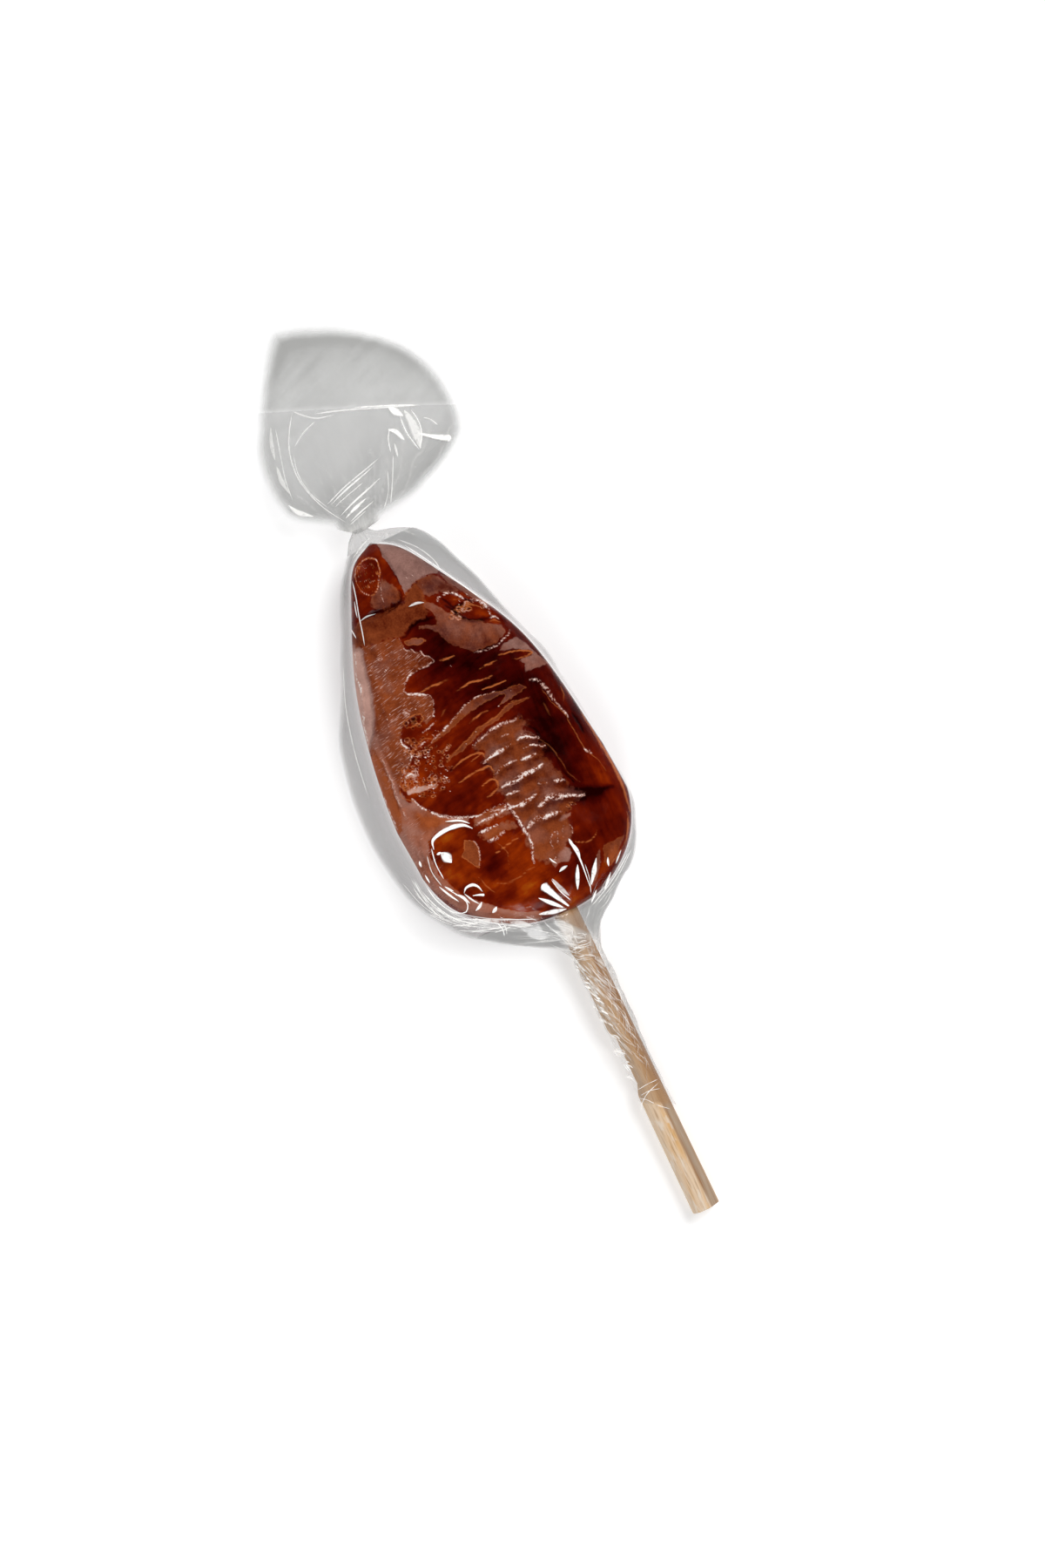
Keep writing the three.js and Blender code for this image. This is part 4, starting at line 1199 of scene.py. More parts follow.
@dataclass
class CaramelSlab:
    """The boiled sweet, with the relief and marks of its shown face."""

    form: SweetForm
    finish: CaramelFinish = CaramelFinish()
    top_columns: int = 236
    under_columns: int = 40
    rows: int = 346
    evenness: float = 0.7
    middle_bias: float = 0.4
    lowest: float = 0.85
    edge_fade: float = 0.45
    line_rise: float = 0.75
    rib_spread: float = 2.2
    # Painted shade just below each rib and painted light on its upper side: strength and shift along Y.
    rib_shadow: Point = (0.3, 0.85)
    rib_painted_light: Point = (0.3, -0.6)

    def angles(self) -> Array:
        """Angles round a section, nearly even across the upper face, with the ring's join closed.

        Returns:
            The angles, from 0 to a full turn.
        """
        over = np.linspace(0, 1, self.top_columns, endpoint=False)
        across = (2 * over - 1) * self.evenness - np.cos(math.pi * over) * (1 - self.evenness)
        top = np.arccos(np.clip(-np.sign(across) * np.abs(across) ** (self.form.squareness / 2), -1, 1))
        under = math.pi * (1 + np.linspace(0, 1, self.under_columns + 1))
        return np.concatenate([top, under])

    def warp(self, x: Array, y: Array) -> tuple[Array, Array]:
        """Places shifted a little, so that drawn edges come out ragged.

        Args:
            x: places across.
            y: places along.

        Returns:
            The shifted places.
        """
        flat = np.stack([x, y], axis=1)
        dx = 0.22 * cloud(flat, 1.7, 11) + 0.07 * cloud(flat, 0.5, 12)
        dy = 0.22 * cloud(flat, 1.5, 21) + 0.07 * cloud(flat, 0.5, 22)
        return x + dx, y + dy

    def lines(self, x: Array, y: Array, kind: MarkKind, spread: float = 1.0) -> Array:
        """Drawn lines of one kind.

        Args:
            x: places across.
            y: places along.
            kind: which lines.
            spread: how much wider than drawn.

        Returns:
            How strongly a line shows at each place.
        """
        shown = np.zeros(x.shape)
        for line in FACE_LINES[kind]:
            far, share = path_distance(x, y, spline(line.points, 8 * len(line.points)))
            taper = 0.4 + 0.6 * np.sin(math.pi * np.clip(share, 0.02, 0.98)) ** 0.5
            reach = 0.5 * line.width * taper * spread
            shown = np.maximum(shown, line.shine * bell(far, reach) * taper**0.5)
        return shown

    def dry(self, x: Array, y: Array) -> tuple[Array, Array, Array, Array]:
        """Patches that the film doesn't touch.

        Args:
            x: places across.
            y: places along.

        Returns:
            The distance in from the nearest edge, and the uppermost patch's paleness, darkness and rim.
        """
        best = np.full(x.shape, -9.0)
        pale, darker, rim = (np.zeros(x.shape) for _ in range(3))
        for patch in DRY_PATCHES:
            inside = patch_depth(x, y, np.asarray(patch.points)) / patch.soft
            over = np.where(best > 0, ease(inside, -0.3, 0.3), inside > best)
            pale += (patch.pale - pale) * over
            darker += (patch.darker * ease(inside, -0.2, 0.4) - darker) * over
            rim += (patch.rim - rim) * over
            best = np.maximum(best, inside)
        return best, pale, darker, rim

    def froth(self, x: Array, y: Array, froths: tuple[Froth, ...]) -> tuple[Array, Array]:
        """Small bubbles in the face.

        Args:
            x: places across.
            y: places along.
            froths: where the bubbles are.

        Returns:
            How strongly a bubble's rim shows, and how strongly its middle does.
        """
        rim = np.zeros(x.shape)
        heart = np.zeros(x.shape)
        for froth in froths:
            dice = np.random.default_rng(froth.seed)
            for _ in range(froth.count):
                way, out = dice.uniform(0, TURN), math.sqrt(dice.uniform(0, 1))
                radius = dice.uniform(froth.smallest, froth.largest)
                squash = dice.uniform(0.6, 1.0)
                middle = (
                    froth.middle[0] + froth.reach[0] * out * math.cos(way),
                    froth.middle[1] + froth.reach[1] * out * math.sin(way),
                )
                far = oval(x, y, middle, (radius, radius * squash), dice.uniform(-40, 40))
                rim = np.maximum(rim, bell(far - 1, 0.35) * dice.uniform(0.3, 1))
                heart = np.maximum(heart, 1 - ease(far, 0.5, 1))
        return rim, heart

    def hollows(self, x: Array, y: Array) -> Array:
        """How far the face lies below the sweet's envelope, before ribs and ridges.

        Args:
            x: places across.
            y: places along.

        Returns:
            A depth in mm for each place.
        """
        flat = np.stack([x, y], axis=1)
        lobe = 1 - ease(oval(x, y, (-8.3, -13.7), (8.4, 8.6)), 0.88, 1.12)
        bulge = 9.5 * bell(y - 1.3, 8)
        basin = between(x + 3.8 + bulge, 0, 20.5 + bulge, 0.9) * between(y, -13, 24, 2.5)
        deep = 0.55 * basin * (1 - lobe)
        deep += 0.75 * (1 - ease(oval(x, y, (12.3, 0.8), (13.5, 2.7), 96), 0.65, 1.35))
        ear = 1 - ease(oval(x, y, (9, 26.4), (5, 1.5), -47), 0.65, 1.35)
        deep += ear * (1.0 + 0.5 * cloud(flat, 1.3, 31))
        deep += 0.35 * (1 - ease(oval(x, y, (-4.9, 38.7), (3.1, 2.4), 80), 0.8, 1.1))
        deep += 0.6 * (1 - ease(oval(x, y, (-5.4, 32.6), (4.6, 0.8), 3), 0.6, 1.3))
        deep += 0.16 * (2 + cloud(flat, 9, 41) + cloud(flat, 5, 42))
        return deep

    def tint(self, x: Array, y: Array, crease: Array) -> Array:
        """How dark the caramel is: stains, painted shade in creases and under each rib, and painted light and
        shade in some spots.

        Args:
            x: places across.
            y: places along.
            crease: how strongly creases show, each darkened with painted shade.

        Returns:
            A value from 0, brightest, to 1, darkest, before patches and bubbles.
        """
        amount, shift = self.rib_shadow
        # Painted shade in the creases and just below each rib.
        tint = 0.5 + 0.5 * crease + amount * self.lines(x, y + shift, MarkKind.RIB, self.rib_spread)
        for spot in STAINS_AND_SHADES:
            tint += spot.amount * bell(oval(x, y, spot.middle, spot.reach, spot.turn))
        return tint

    def build(self) -> Piece:
        """Models the sweet.

        Returns:
            The piece, with its marks stored on it.
        """
        even = np.linspace(0, 1, self.rows)
        shares = np.clip(even + self.middle_bias * np.sin(TURN * even) / TURN, 0, 1)
        angles = self.angles()
        places = self.form.rings(shares, angles)
        flat = places.reshape(-1, 3)
        facing = np.broadcast_to(ease(np.sin(angles), 0, self.edge_fade)[None], places.shape[:2])
        deep = self.form.sections(shares)[3] / self.form.half_thickness
        facing = (facing * deep[:, None]).ravel()
        upper = facing > 0.001
        x, y = self.warp(flat[upper, 0], flat[upper, 1])
        dry, pale, darker, rim = self.dry(x, y)
        bubble, heart = self.froth(x, y, FROTHS)
        _, sugar = self.froth(x, y, SUGAR)
        thin_rib, frost, glow, crease = (self.lines(x, y, kind) for kind in MarkKind)
        rib = self.lines(x, y, MarkKind.RIB, self.rib_spread)
        # Painted light: the upper side of each rib made paler.
        amount, shift = self.rib_painted_light
        rib_light = amount * self.lines(x, y + shift, MarkKind.RIB, self.rib_spread)
        tint = self.tint(x, y, crease) + darker + 0.2 * heart
        on_field = ease(patch_depth(x, y, np.asarray(LEFT_FIELD.points)), -0.3, 0.6) * ease(y, 0, 8)
        on_strip = 0.7 * ease(-x, 13, 15) * ease(-y, 0, 3)
        found = {
            "dry": dry,
            "pale": pale + rib_light,
            "rim": rim,
            # How dark the caramel is, painted shade and light included.
            "depth": np.clip(tint, 0, 1),
            "glow": np.maximum(glow, 0.75 * bubble),
            "upright": ease(x, 9, 12.5),
            # Painted highlights on rib crests and bubble rims join the frosted lines and sugar.
            "frost": np.maximum.reduce([frost, thin_rib, 0.9 * sugar, 0.4 * bubble]),
            "scratch": np.maximum(on_field, on_strip),
        }
        unseen = {"dry": -9.0, "depth": 0.45}
        marks = {key: np.full(len(flat), unseen.get(key, 0.0)) for key in found}
        for key, values in found.items():
            marks[key][upper] = values
        lip = 0.14 * ease(dry, -0.15, 0.15)
        ridge = np.maximum(0.4 * frost, 0.2 * glow)
        rise = self.line_rise * np.maximum(rib, ridge) + lip - 0.25 * crease
        flat[upper, 2] -= facing[upper] * (self.hollows(x, y) - rise - 0.12 * bubble + 0.08 * heart)
        flat[:, 2] = np.maximum(flat[:, 2], self.lowest)
        shaped = flat.reshape(places.shape)
        grids = {key: value.reshape(places.shape[:2]) for key, value in marks.items()}
        return wrap_sheet("caramel_slab", shaped, grids)

    def dress(self, piece: Piece) -> None:
        """Gives the sweet its finish and its place in the frame.

        Args:
            piece: the sweet.
        """
        piece.data.materials.append(self.finish.material())
        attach(piece, "root")
        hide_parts("candy")


@dataclass
class WoodStick:
    """The split-wood stick: a tapered dowel, cut flat along one side and sawn off square."""

    form: SweetForm
    finish: WoodFinish = WoodFinish()
    shown: float = 57.0
    sunk: float = 9.0
    radius: float = 2.56
    top_radius: float = 2.15
    sides: int = 80
    cuts: int = 220
    facet_cuts: int = 10
    wide_edge: float = 0.7
    facet_rise: float = math.radians(38)
    facet_offset: float = 2.1
    bevel: float = 0.14
    uneven: float = 0.09
    notch: float = 0.75
    covered_from: float = -65.2

    def build(self) -> Piece:
        """Models the stick.

        Returns:
            The piece, with its flat side, seam, golden and covered parts marked on it.
        """
        y_ends = (self.form.base_y - self.shown, self.form.base_y + self.sunk)
        foot, top = (Vector((self.form.stick_x(y), y, self.form.height(y))) * MM for y in y_ends)
        way = top - foot
        bpy.ops.object.select_all(action="DESELECT")
        bpy.ops.mesh.primitive_cone_add(
            vertices=self.sides,
            radius1=self.radius * MM,
            radius2=self.top_radius * MM,
            depth=way.length,
            location=(foot + top) / 2,
            rotation=way.to_track_quat("Z", "X").to_euler(),
        )
        piece = bpy.context.object
        piece.name = "wood_stick"
        piece.data.name = "wood_stick"
        bpy.ops.object.transform_apply(location=True, rotation=True, scale=True)
        self.cut_facet(foot)
        self.bevel_end(piece, foot, way.normalized())
        self.divide(piece, foot, way)
        self.roughen(piece)
        self.mark(piece)
        bpy.ops.object.shade_smooth_by_angle(angle=math.radians(24))
        return piece

    def facet_normal(self) -> Vector:
        """Where the flat side faces: to the right and up."""
        return Vector((math.cos(self.facet_rise), 0, math.sin(self.facet_rise)))

    def cut_facet(self, foot: Vector) -> None:
        """Slices the flat side off the dowel.

        Args:
            foot: the middle of the free end.
        """
        normal = self.facet_normal()
        with editing():
            bpy.ops.mesh.select_all(action="SELECT")
            slant = normal - Vector((0, 1, 0)) * (normal.z * self.form.lean - normal.x * self.form.yaw)
            on_facet = foot + normal * self.facet_offset * MM
            bpy.ops.mesh.bisect(plane_co=on_facet, plane_no=slant, clear_outer=True, use_fill=True)

    def bevel_end(self, piece: Piece, foot: Vector, way: Vector) -> None:
        """Breaks the sharp rim of the free end.

        Args:
            piece: the stick.
            foot: the middle of the free end.
            way: the stick's direction.
        """
        self.pick_edges(piece, lambda a, b: max((a - foot).dot(way), (b - foot).dot(way)) < 0.1 * MM)
        with editing():
            bpy.ops.mesh.bevel(offset=self.bevel * MM, segments=2, affect="EDGES")

    def divide(self, piece: Piece, foot: Vector, way: Vector) -> None:
        """Slices the stick into short rows, and divides its flat side into narrow columns.

        Args:
            piece: the stick.
            foot: the middle of the free end.
            way: from there to the other end.
        """
        with editing():
            for cut in range(1, self.cuts):
                bpy.ops.mesh.select_all(action="SELECT")
                bpy.ops.mesh.bisect(plane_co=foot + way * (cut / self.cuts), plane_no=way)
        self.pick_edges(piece, lambda a, b: (b - a).length > self.wide_edge * MM)
        with editing():
            bpy.ops.mesh.subdivide(number_cuts=self.facet_cuts)
            bpy.ops.mesh.select_all(action="DESELECT")

    def pick_edges(self, piece: Piece, wanted: Callable[[Vector, Vector], bool]) -> None:
        """Selects the edges whose two ends pass a test.

        Args:
            piece: the piece.
            wanted: the test.
        """
        with editing():
            bpy.ops.mesh.select_mode(type="EDGE")
            bpy.ops.mesh.select_all(action="DESELECT")
        points = piece.data.vertices
        for edge in piece.data.edges:
            edge.select = wanted(*(points[i].co for i in edge.vertices))

    def roughen(self, piece: Piece) -> None:
        """Presses shallow furrows and dents into the dowel.

        Args:
            piece: the stick.
        """
        points = vertices(piece)
        y = points[:, 1]
        axis = np.stack([self.form.stick_x(y), y, self.form.height(y)], axis=1)
        out = points - axis
        dents = 0.5 + 0.5 * cloud(points, (1.6, 14, 1.6), 61, 2)
        furrows = 0.5 + 0.5 * cloud(points, (0.5, 20, 0.5), 62, 2)
        notch = self.notch * between(y, -61.4, -51, 1.4) * ease(-out[:, 0], 0.2, 1.8)
        press = self.uneven * (0.6 * dents + 0.4 * furrows) + notch
        far = np.maximum(np.linalg.norm(out, axis=1), 0.01)
        place(piece, points - out * (press / far)[:, None])

    def mark(self, piece: Piece) -> None:
        """Stores where the wood is split flat, seamed, golden or covered by the film, and where painted shade
        darkens its far side.

        Args:
            piece: the stick.
        """
        points = vertices(piece)
        x = points[:, 0] - self.form.stick_x(points[:, 1])
        y, z = points[:, 1], points[:, 2] - self.form.height(points[:, 1])
        normal = self.facet_normal()
        facing = (x * normal.x + z * normal.z) / np.maximum(np.hypot(x, z), 0.01)
        patchy = 0.5 + 0.5 * cloud(points, (1.2, 5, 1.2), 64, 2)
        store(piece, "facet", ease(facing, 0.84, 0.9) * (0.7 + 0.3 * patchy))
        # Painted shade: the stick's right side, and its right half under the film, darkened.
        under_film_shade = between(y, -64, -40, 5) * (0.2 * ease(x, -1.5, 1.5) + 0.3 * ease(x, 1, 2))
        far_side_shade = 0.3 * ease(x, 1.7, 2.5) + under_film_shade
        store(piece, "seam", (0.9 * bell(x - 1, 0.3) * patchy + far_side_shade) * (z > -1))
        store(piece, "gold", bell(x - 0.35, 0.5) * between(y, -76, -65, 3) * (0.4 + 0.6 * patchy))
        covered = ease(y + 0.6 * x, self.covered_from, self.covered_from + 1)
        store(piece, "tan", covered * (0.7 + 0.2 * ease(x, -1, 2)))

    def dress(self, piece: Piece) -> None:
        """Gives the stick its finish and its place in the frame.

        Args:
            piece: the stick.
        """
        piece.data.materials.append(self.finish.material())
        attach(piece, "root")
        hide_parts("stick")


# Film

def ridged(phase: Array, sharpness: float = 2.0) -> Array:
    """Sharp crests from 0 to 1, one in each whole step of the phase."""
    return (1 - np.abs(2 * (phase - np.floor(phase)) - 1)) ** sharpness


@dataclass
class FilmBag:
    """The film round the sweet and down the stick: neck, bag, gathered cone and twisted sleeve."""

    form: SweetForm
    finish: FilmFinish = FilmFinish()
    columns: int = 200
    neck_rows: int = 30
    bag_rows: int = 230
    cone_rows: int = 60
    sleeve_rows: int = 164
    offset: float = 0.4
    bag_tip: float = 0.012
    bag_mouth: float = 0.885
    neck_top: float = 47.4
    neck_x: float = -3.15
    neck_radius: float = 0.85
    sleeve_start: float = 8.0
    sleeve_end: float = 36.9
    sleeve_shift: float = 0.05
    streak_twist: float = 0.14
    cone_closing: float = 1.25
    soft_rim: Point = (1.5, 0.7)
    table_gap: float = 0.03
    tip_pleats: int = 11
    mouth_pleats: int = 15
    wander_pitch: tuple[float, float, float] = (6, 9, 6)
    wraps: int = 4
    wrap_length: float = 8.5
    fine_wraps: int = 11
    fine_wrap_length: float = 3.1
    tightens: Point = (16, 30)
    left_edge: tuple[Point, ...] = (
        (0.1, -36.4), (-0.2, -35), (-1.2, -33.5), (-4.5, -31.6), (-7.9, -29.7), (-11.3, -27.5),
        (-15.7, -24.2), (-18, -21.2), (-20.2, -18), (-21.7, -15), (-23, -10), (-23.8, -5), (-24, 0),
        (-23.7, 5), (-22.9, 10), (-21.7, 15), (-19.2, 20), (-17.3, 24), (-15.7, 28), (-13.8, 32),
        (-12.2, 36), (-9.9, 40), (-6.5, 44), (-5.4, 45.9), (-4.1, 47.2),
    )
    right_edge: tuple[Point, ...] = (
        (5.2, -36.4), (5.7, -35), (6.7, -33), (8.6, -31), (11, -29.2), (13.4, -27), (17, -24.2),
        (19.3, -21), (20.6, -18), (21.6, -15), (21.7, -10), (21.1, -5), (20.5, 0), (19.9, 5), (19, 10),
        (18.4, 15), (16.5, 20), (15, 24), (13.7, 28), (12.4, 32), (10.6, 36), (8.6, 40), (5.6, 43.6),
        (2, 45.2), (-0.9, 46), (-2.2, 47.2),
    )

    def stick_radius(self, y: Array) -> Array:
        """Radius of the stick under the sleeve."""
        return np.interp(y - self.form.base_y, (-57, 9), (2.5, 2.15))

    def widen(self, places: Array, angles: Array) -> None:
        """Draws the film's flanks out to its outline seen from above.

        Args:
            places: the film's rings, which are moved.
            angles: angles round.
        """
        for edge, way in ((self.left_edge, 1), (self.right_edge, -1)):
            line = spline(edge, 300)
            wanted = np.interp(places[:, 0, 1], *line[:, ::-1].T)
            gap = np.maximum((places[:, :, 0] * way).min(axis=1) - wanted * way, 0)
            places[:, :, 0] -= way * gap[:, None] * ease(way * np.cos(angles), 0.35, 1)[None]

    def fade(self, places: Array) -> Array:
        """How the film thins out towards its outline seen from above, 0 on it.

        Args:
            places: the film's rings.

        Returns:
            A share for each place.
        """
        x = places[:, :, 0]
        left, right = self.soft_rim
        from_left = ease(x - x.min(axis=1)[:, None], 0, left)
        return from_left * ease(x.max(axis=1)[:, None] - x, 0, right)

    def bag(self, angles: Array) -> Rings:
        """The bag's rings.

        Args:
            angles: angles round.

        Returns:
            Places, and the marks of haze and whitened crests.
        """
        even = np.linspace(0, 1, self.bag_rows)
        even = even - 0.5 * np.sin(TURN * even) / TURN
        shares = self.bag_tip + (self.bag_mouth - self.bag_tip) * even
        places = self.form.rings(shares, angles, self.offset)
        self.widen(places, angles)
        near_tip = 1 - ease(shares, 0.02, 0.16)
        near_mouth = ease(shares, 0.66, 0.885)
        wander = cloud_on(places, self.wander_pitch, 71)
        turn = angles[None] / TURN
        tip_crest = ridged(self.tip_pleats * turn + 0.35 * wander) * near_tip[:, None]
        mouth_crest = ridged(self.mouth_pleats * turn + 0.5 * wander + 0.4 * shares[:, None])
        mouth_crest = mouth_crest * near_mouth[:, None]
        out = outward(angles)
        slack = cloud_on(places, (2.2, 7, 2.2), 72)
        flank = ease(np.abs(np.cos(angles)), 0.55, 0.95)[None]
        push = 0.5 * tip_crest + 0.45 * mouth_crest + 0.05 * slack * flank
        places += push[:, :, None] * out[None]
        places[:, :, 2] = np.maximum(places[:, :, 2], self.table_gap)
        beyond = self.form.beyond(places)
        # Painted shade: haze beyond the sweet's outline stands for the table's shade under the film, more
        # outwards, by the tip and on the right.
        haze = 0.78 * ease(beyond, -0.2, 1.0) + 0.3 * ease(beyond, 1, 3.4)
        haze = haze + near_tip[:, None] * ease(beyond, 0, 1)
        shade_upper_right = between(places[:, :, 1], 24, 40, 5) * ease(places[:, :, 0], 2, 8)
        shade_lower_right = between(places[:, :, 1], -28, -10, 4) * ease(places[:, :, 0], 4, 10)
        haze = haze + 0.6 * shade_upper_right * ease(beyond, 0, 0.8) + 0.7 * shade_lower_right * ease(beyond, -0.2, 0.4)
        haze = haze * self.fade(places)
        crests = np.maximum(tip_crest, mouth_crest)
        milk = 0.45 * ease(crests, 0.8, 1.0) * (0.3 + 0.7 * haze)
        return places, {"haze": haze, "milk": milk}

    def neck(self, angles: Array) -> Rings:
        """The rings that gather the bag into the neck under the tail.

        Args:
            angles: angles round.

        Returns:
            Places, and the marks of haze and whitened crests.
        """
        half, y, middle, deep = self.form.sections(np.array([self.bag_tip]))
        share = np.linspace(0, 1, self.neck_rows + 1)[:-1]
        open_share = share**0.85
        along = self.neck_top + (y[0] - self.neck_top) * share
        half_now = self.neck_radius + (half[0] + self.offset - self.neck_radius) * open_share
        deep_now = self.neck_radius + (deep[0] + self.offset - self.neck_radius) * open_share
        middle_now = self.neck_x + (middle[0] - self.neck_x) * share
        places = flat_rings(half_now, along, middle_now, deep_now, self.form.height(along), angles, 2)
        self.widen(places, angles)
        crest = ridged(self.tip_pleats * angles[None] / TURN + 0.6 * share[:, None])
        out = outward(angles)
        places += (0.3 * crest)[:, :, None] * out[None]
        milk = 0.2 + 0.4 * ease(crest, 0.6, 1)
        return places, {"haze": np.full(crest.shape, 0.9), "milk": milk}

    def cone(self, angles: Array, sleeve: Rings) -> Rings:
        """The rings that gather the bag on to the stick.

        Args:
            angles: angles round.
            sleeve: the sleeve's rings and marks, which the cone runs into.

        Returns:
            Places, and the marks of haze and whitened crests.
        """
        half, y, middle, deep = self.form.sections(np.array([self.bag_mouth]))
        share = np.linspace(0, 1, self.cone_rows + 2)[1:-1]
        along = y[0] + (self.form.base_y - self.sleeve_start - y[0]) * share
        is_open = (1 - share) ** self.cone_closing
        bore = self.stick_radius(along) + 0.3
        half_now = bore + (half[0] + self.offset - bore) * is_open
        deep_now = bore + (deep[0] + self.offset - bore) * is_open
        axis = self.form.stick_x(along)
        middle_now = axis + (middle[0] - axis) * is_open
        square = self.form.squareness - share
        places = flat_rings(half_now, along, middle_now, deep_now, self.form.height(along), angles, square)
        self.widen(places, angles)
        wander = cloud_on(places, self.wander_pitch, 71)
        crest = ridged(self.mouth_pleats * angles[None] / TURN + 0.5 * wander + 0.35 + 0.6 * share[:, None])
        out = outward(angles)
        places += (0.25 * crest * (1 - 0.5 * share[:, None]))[:, :, None] * out[None]
        mouth, sleeve_marks = sleeve[0][0], sleeve[1]
        pull = ease(share, 0.6, 1)[:, None]
        for k in (0, 2):
            places[:, :, k] += pull * (mouth[:, k] - places[-1, :, k])[None]
        places[:, :, 2] = np.maximum(places[:, :, 2], self.table_gap)
        outside = ease(self.form.beyond(places), -0.2, 1.0)
        off_stick = ease(np.abs(places[:, :, 0] - axis[:, None]), 1.6, 3.2)
        outside = outside * np.maximum(self.fade(places), ease(share, 0.7, 1)[:, None])
        lie = np.broadcast_arrays(6 * np.cos(angles), 6 * np.sin(angles), 4 * share[:, None])
        streak = ease(cloud_on(np.stack(lie, 2), (0.5, 0.5, 1.6), 73), 0.05, 0.45)
        # Painted shade: haze away from the stick stands for the table's shade under the cone.
        haze = (2.0 - 0.6 * ease(share, 0.5, 1))[:, None] * outside * (0.25 + 0.75 * off_stick)
        slant = places[:, :, 1] + 28 + 1.2 * (places[:, :, 0] + 1)
        veil = between(slant, -4, 2.2, 0.7) * ease(share, 0.1, 0.4)[:, None] * (1 - off_stick)
        haze = haze + 1.1 * veil
        milk = 0.05 * ease(share, 0.2, 0.9)[:, None] + 0.15 * ease(crest, 0.75, 1) + 0.2 * streak
        milk = milk * (0.35 + 0.65 * ease(places[:, :, 0], -1.5, 1.5))
        milk = (milk + veil * (0.25 + 0.4 * streak)) * outside
        marks = {"haze": haze, "milk": milk}
        return places, {key: mark + pull * (sleeve_marks[key][:1] - mark) for key, mark in marks.items()}

    def sleeve(self, angles: Array) -> Rings:
        """The rings twisted round the stick.

        Args:
            angles: angles round.

        Returns:
            Places, and the marks of haze and whitened crests.
        """
        y = self.form.base_y - np.linspace(self.sleeve_start, self.sleeve_end, self.sleeve_rows)
        run = self.form.base_y - y
        turn = angles[None] / TURN + 0 * y[:, None]
        across, up = np.cos(TURN * turn), np.sin(TURN * turn)
        lie = np.broadcast_arrays(3 * across, y[:, None], 3 * up)
        wander = cloud_on(np.stack(lie, 2), (3, 5, 3), 81)
        big = ridged(self.wraps * turn - run[:, None] / self.wrap_length + 0.45 * wander, 1.6)
        fine = ridged(self.fine_wraps * turn - run[:, None] / self.fine_wrap_length + 0.9 * wander, 2.5)
        tight = ease(run, *self.tightens)
        loose = 1 - 0.6 * tight
        radius = self.stick_radius(y) + 0.05 + 0.14 * loose
        radius = radius[:, None] + loose[:, None] * (0.3 * big + 0.14 * fine + 0.12 * wander)
        flare = ease(run, self.sleeve_end - 2.5, self.sleeve_end)[:, None]
        radius = radius + flare * (0.25 + 0.35 * np.maximum(wander, 0))
        radius = radius + 0.4 * ease(-across, 0.3, 1) * loose[:, None]
        x = (self.form.stick_x(y) + self.sleeve_shift * loose)[:, None] - radius * across
        z = self.form.height(y)[:, None] + radius * up
        places = np.stack([x, np.broadcast_to(y[:, None], x.shape), np.maximum(z, self.table_gap)], axis=2)
        places[:, :, 1] += flare * (0.5 * wander + 1.4 * across)
        left = 0.2 + 0.8 * between(across, 0.1, 0.9, 0.6)
        right = ease(-across, 0.55, 0.95)
        # Painted shade: haze down the sleeve's right side.
        haze = 0.25 * left + 0.9 * right * (1 - 0.5 * ease(run, 26, 34))[:, None]
        twist = TURN * turn - self.streak_twist * run[:, None]
        lie = np.broadcast_arrays(3 * np.cos(twist), 3 * np.sin(twist), run[:, None])
        streak = ease(cloud_on(np.stack(lie, 2), (0.4, 0.4, 4.5), 82), 0.0, 0.4)
        milk = 0.1 + 0.1 * ease(big, 0.6, 1.0) + (0.5 + 0.4 * left) * streak
        milk = milk * left * (1 - 0.7 * tight)[:, None]
        near_cone = (1 - ease(run, 9, 20))[:, None]
        milk = milk + near_cone * (0.1 + 0.4 * streak + 0.15 * ease(fine, 0.6, 1)) + 0.2 * right
        return places, {"haze": haze, "milk": milk}

    def build(self) -> Piece:
        """Models the film from the neck to the sleeve's end.

        Returns:
            The piece.
        """
        angles = np.linspace(0, TURN, self.columns + 1)
        sleeve = self.sleeve(angles)
        parts = [self.neck(angles), self.bag(angles), self.cone(angles, sleeve), sleeve]
        places = np.concatenate([rows for rows, _ in parts])
        marks = {key: np.concatenate([mark[key] for _, mark in parts]) for key in ("haze", "milk")}
        return wrap_sheet("film_bag", places, marks)

    def dress(self, piece: Piece) -> None:
        """Gives the film its finish and its place in the frame.

        Args:
            piece: the film.
        """
        piece.data.materials.append(self.finish.material())
        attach(piece, "root")
        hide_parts("film")


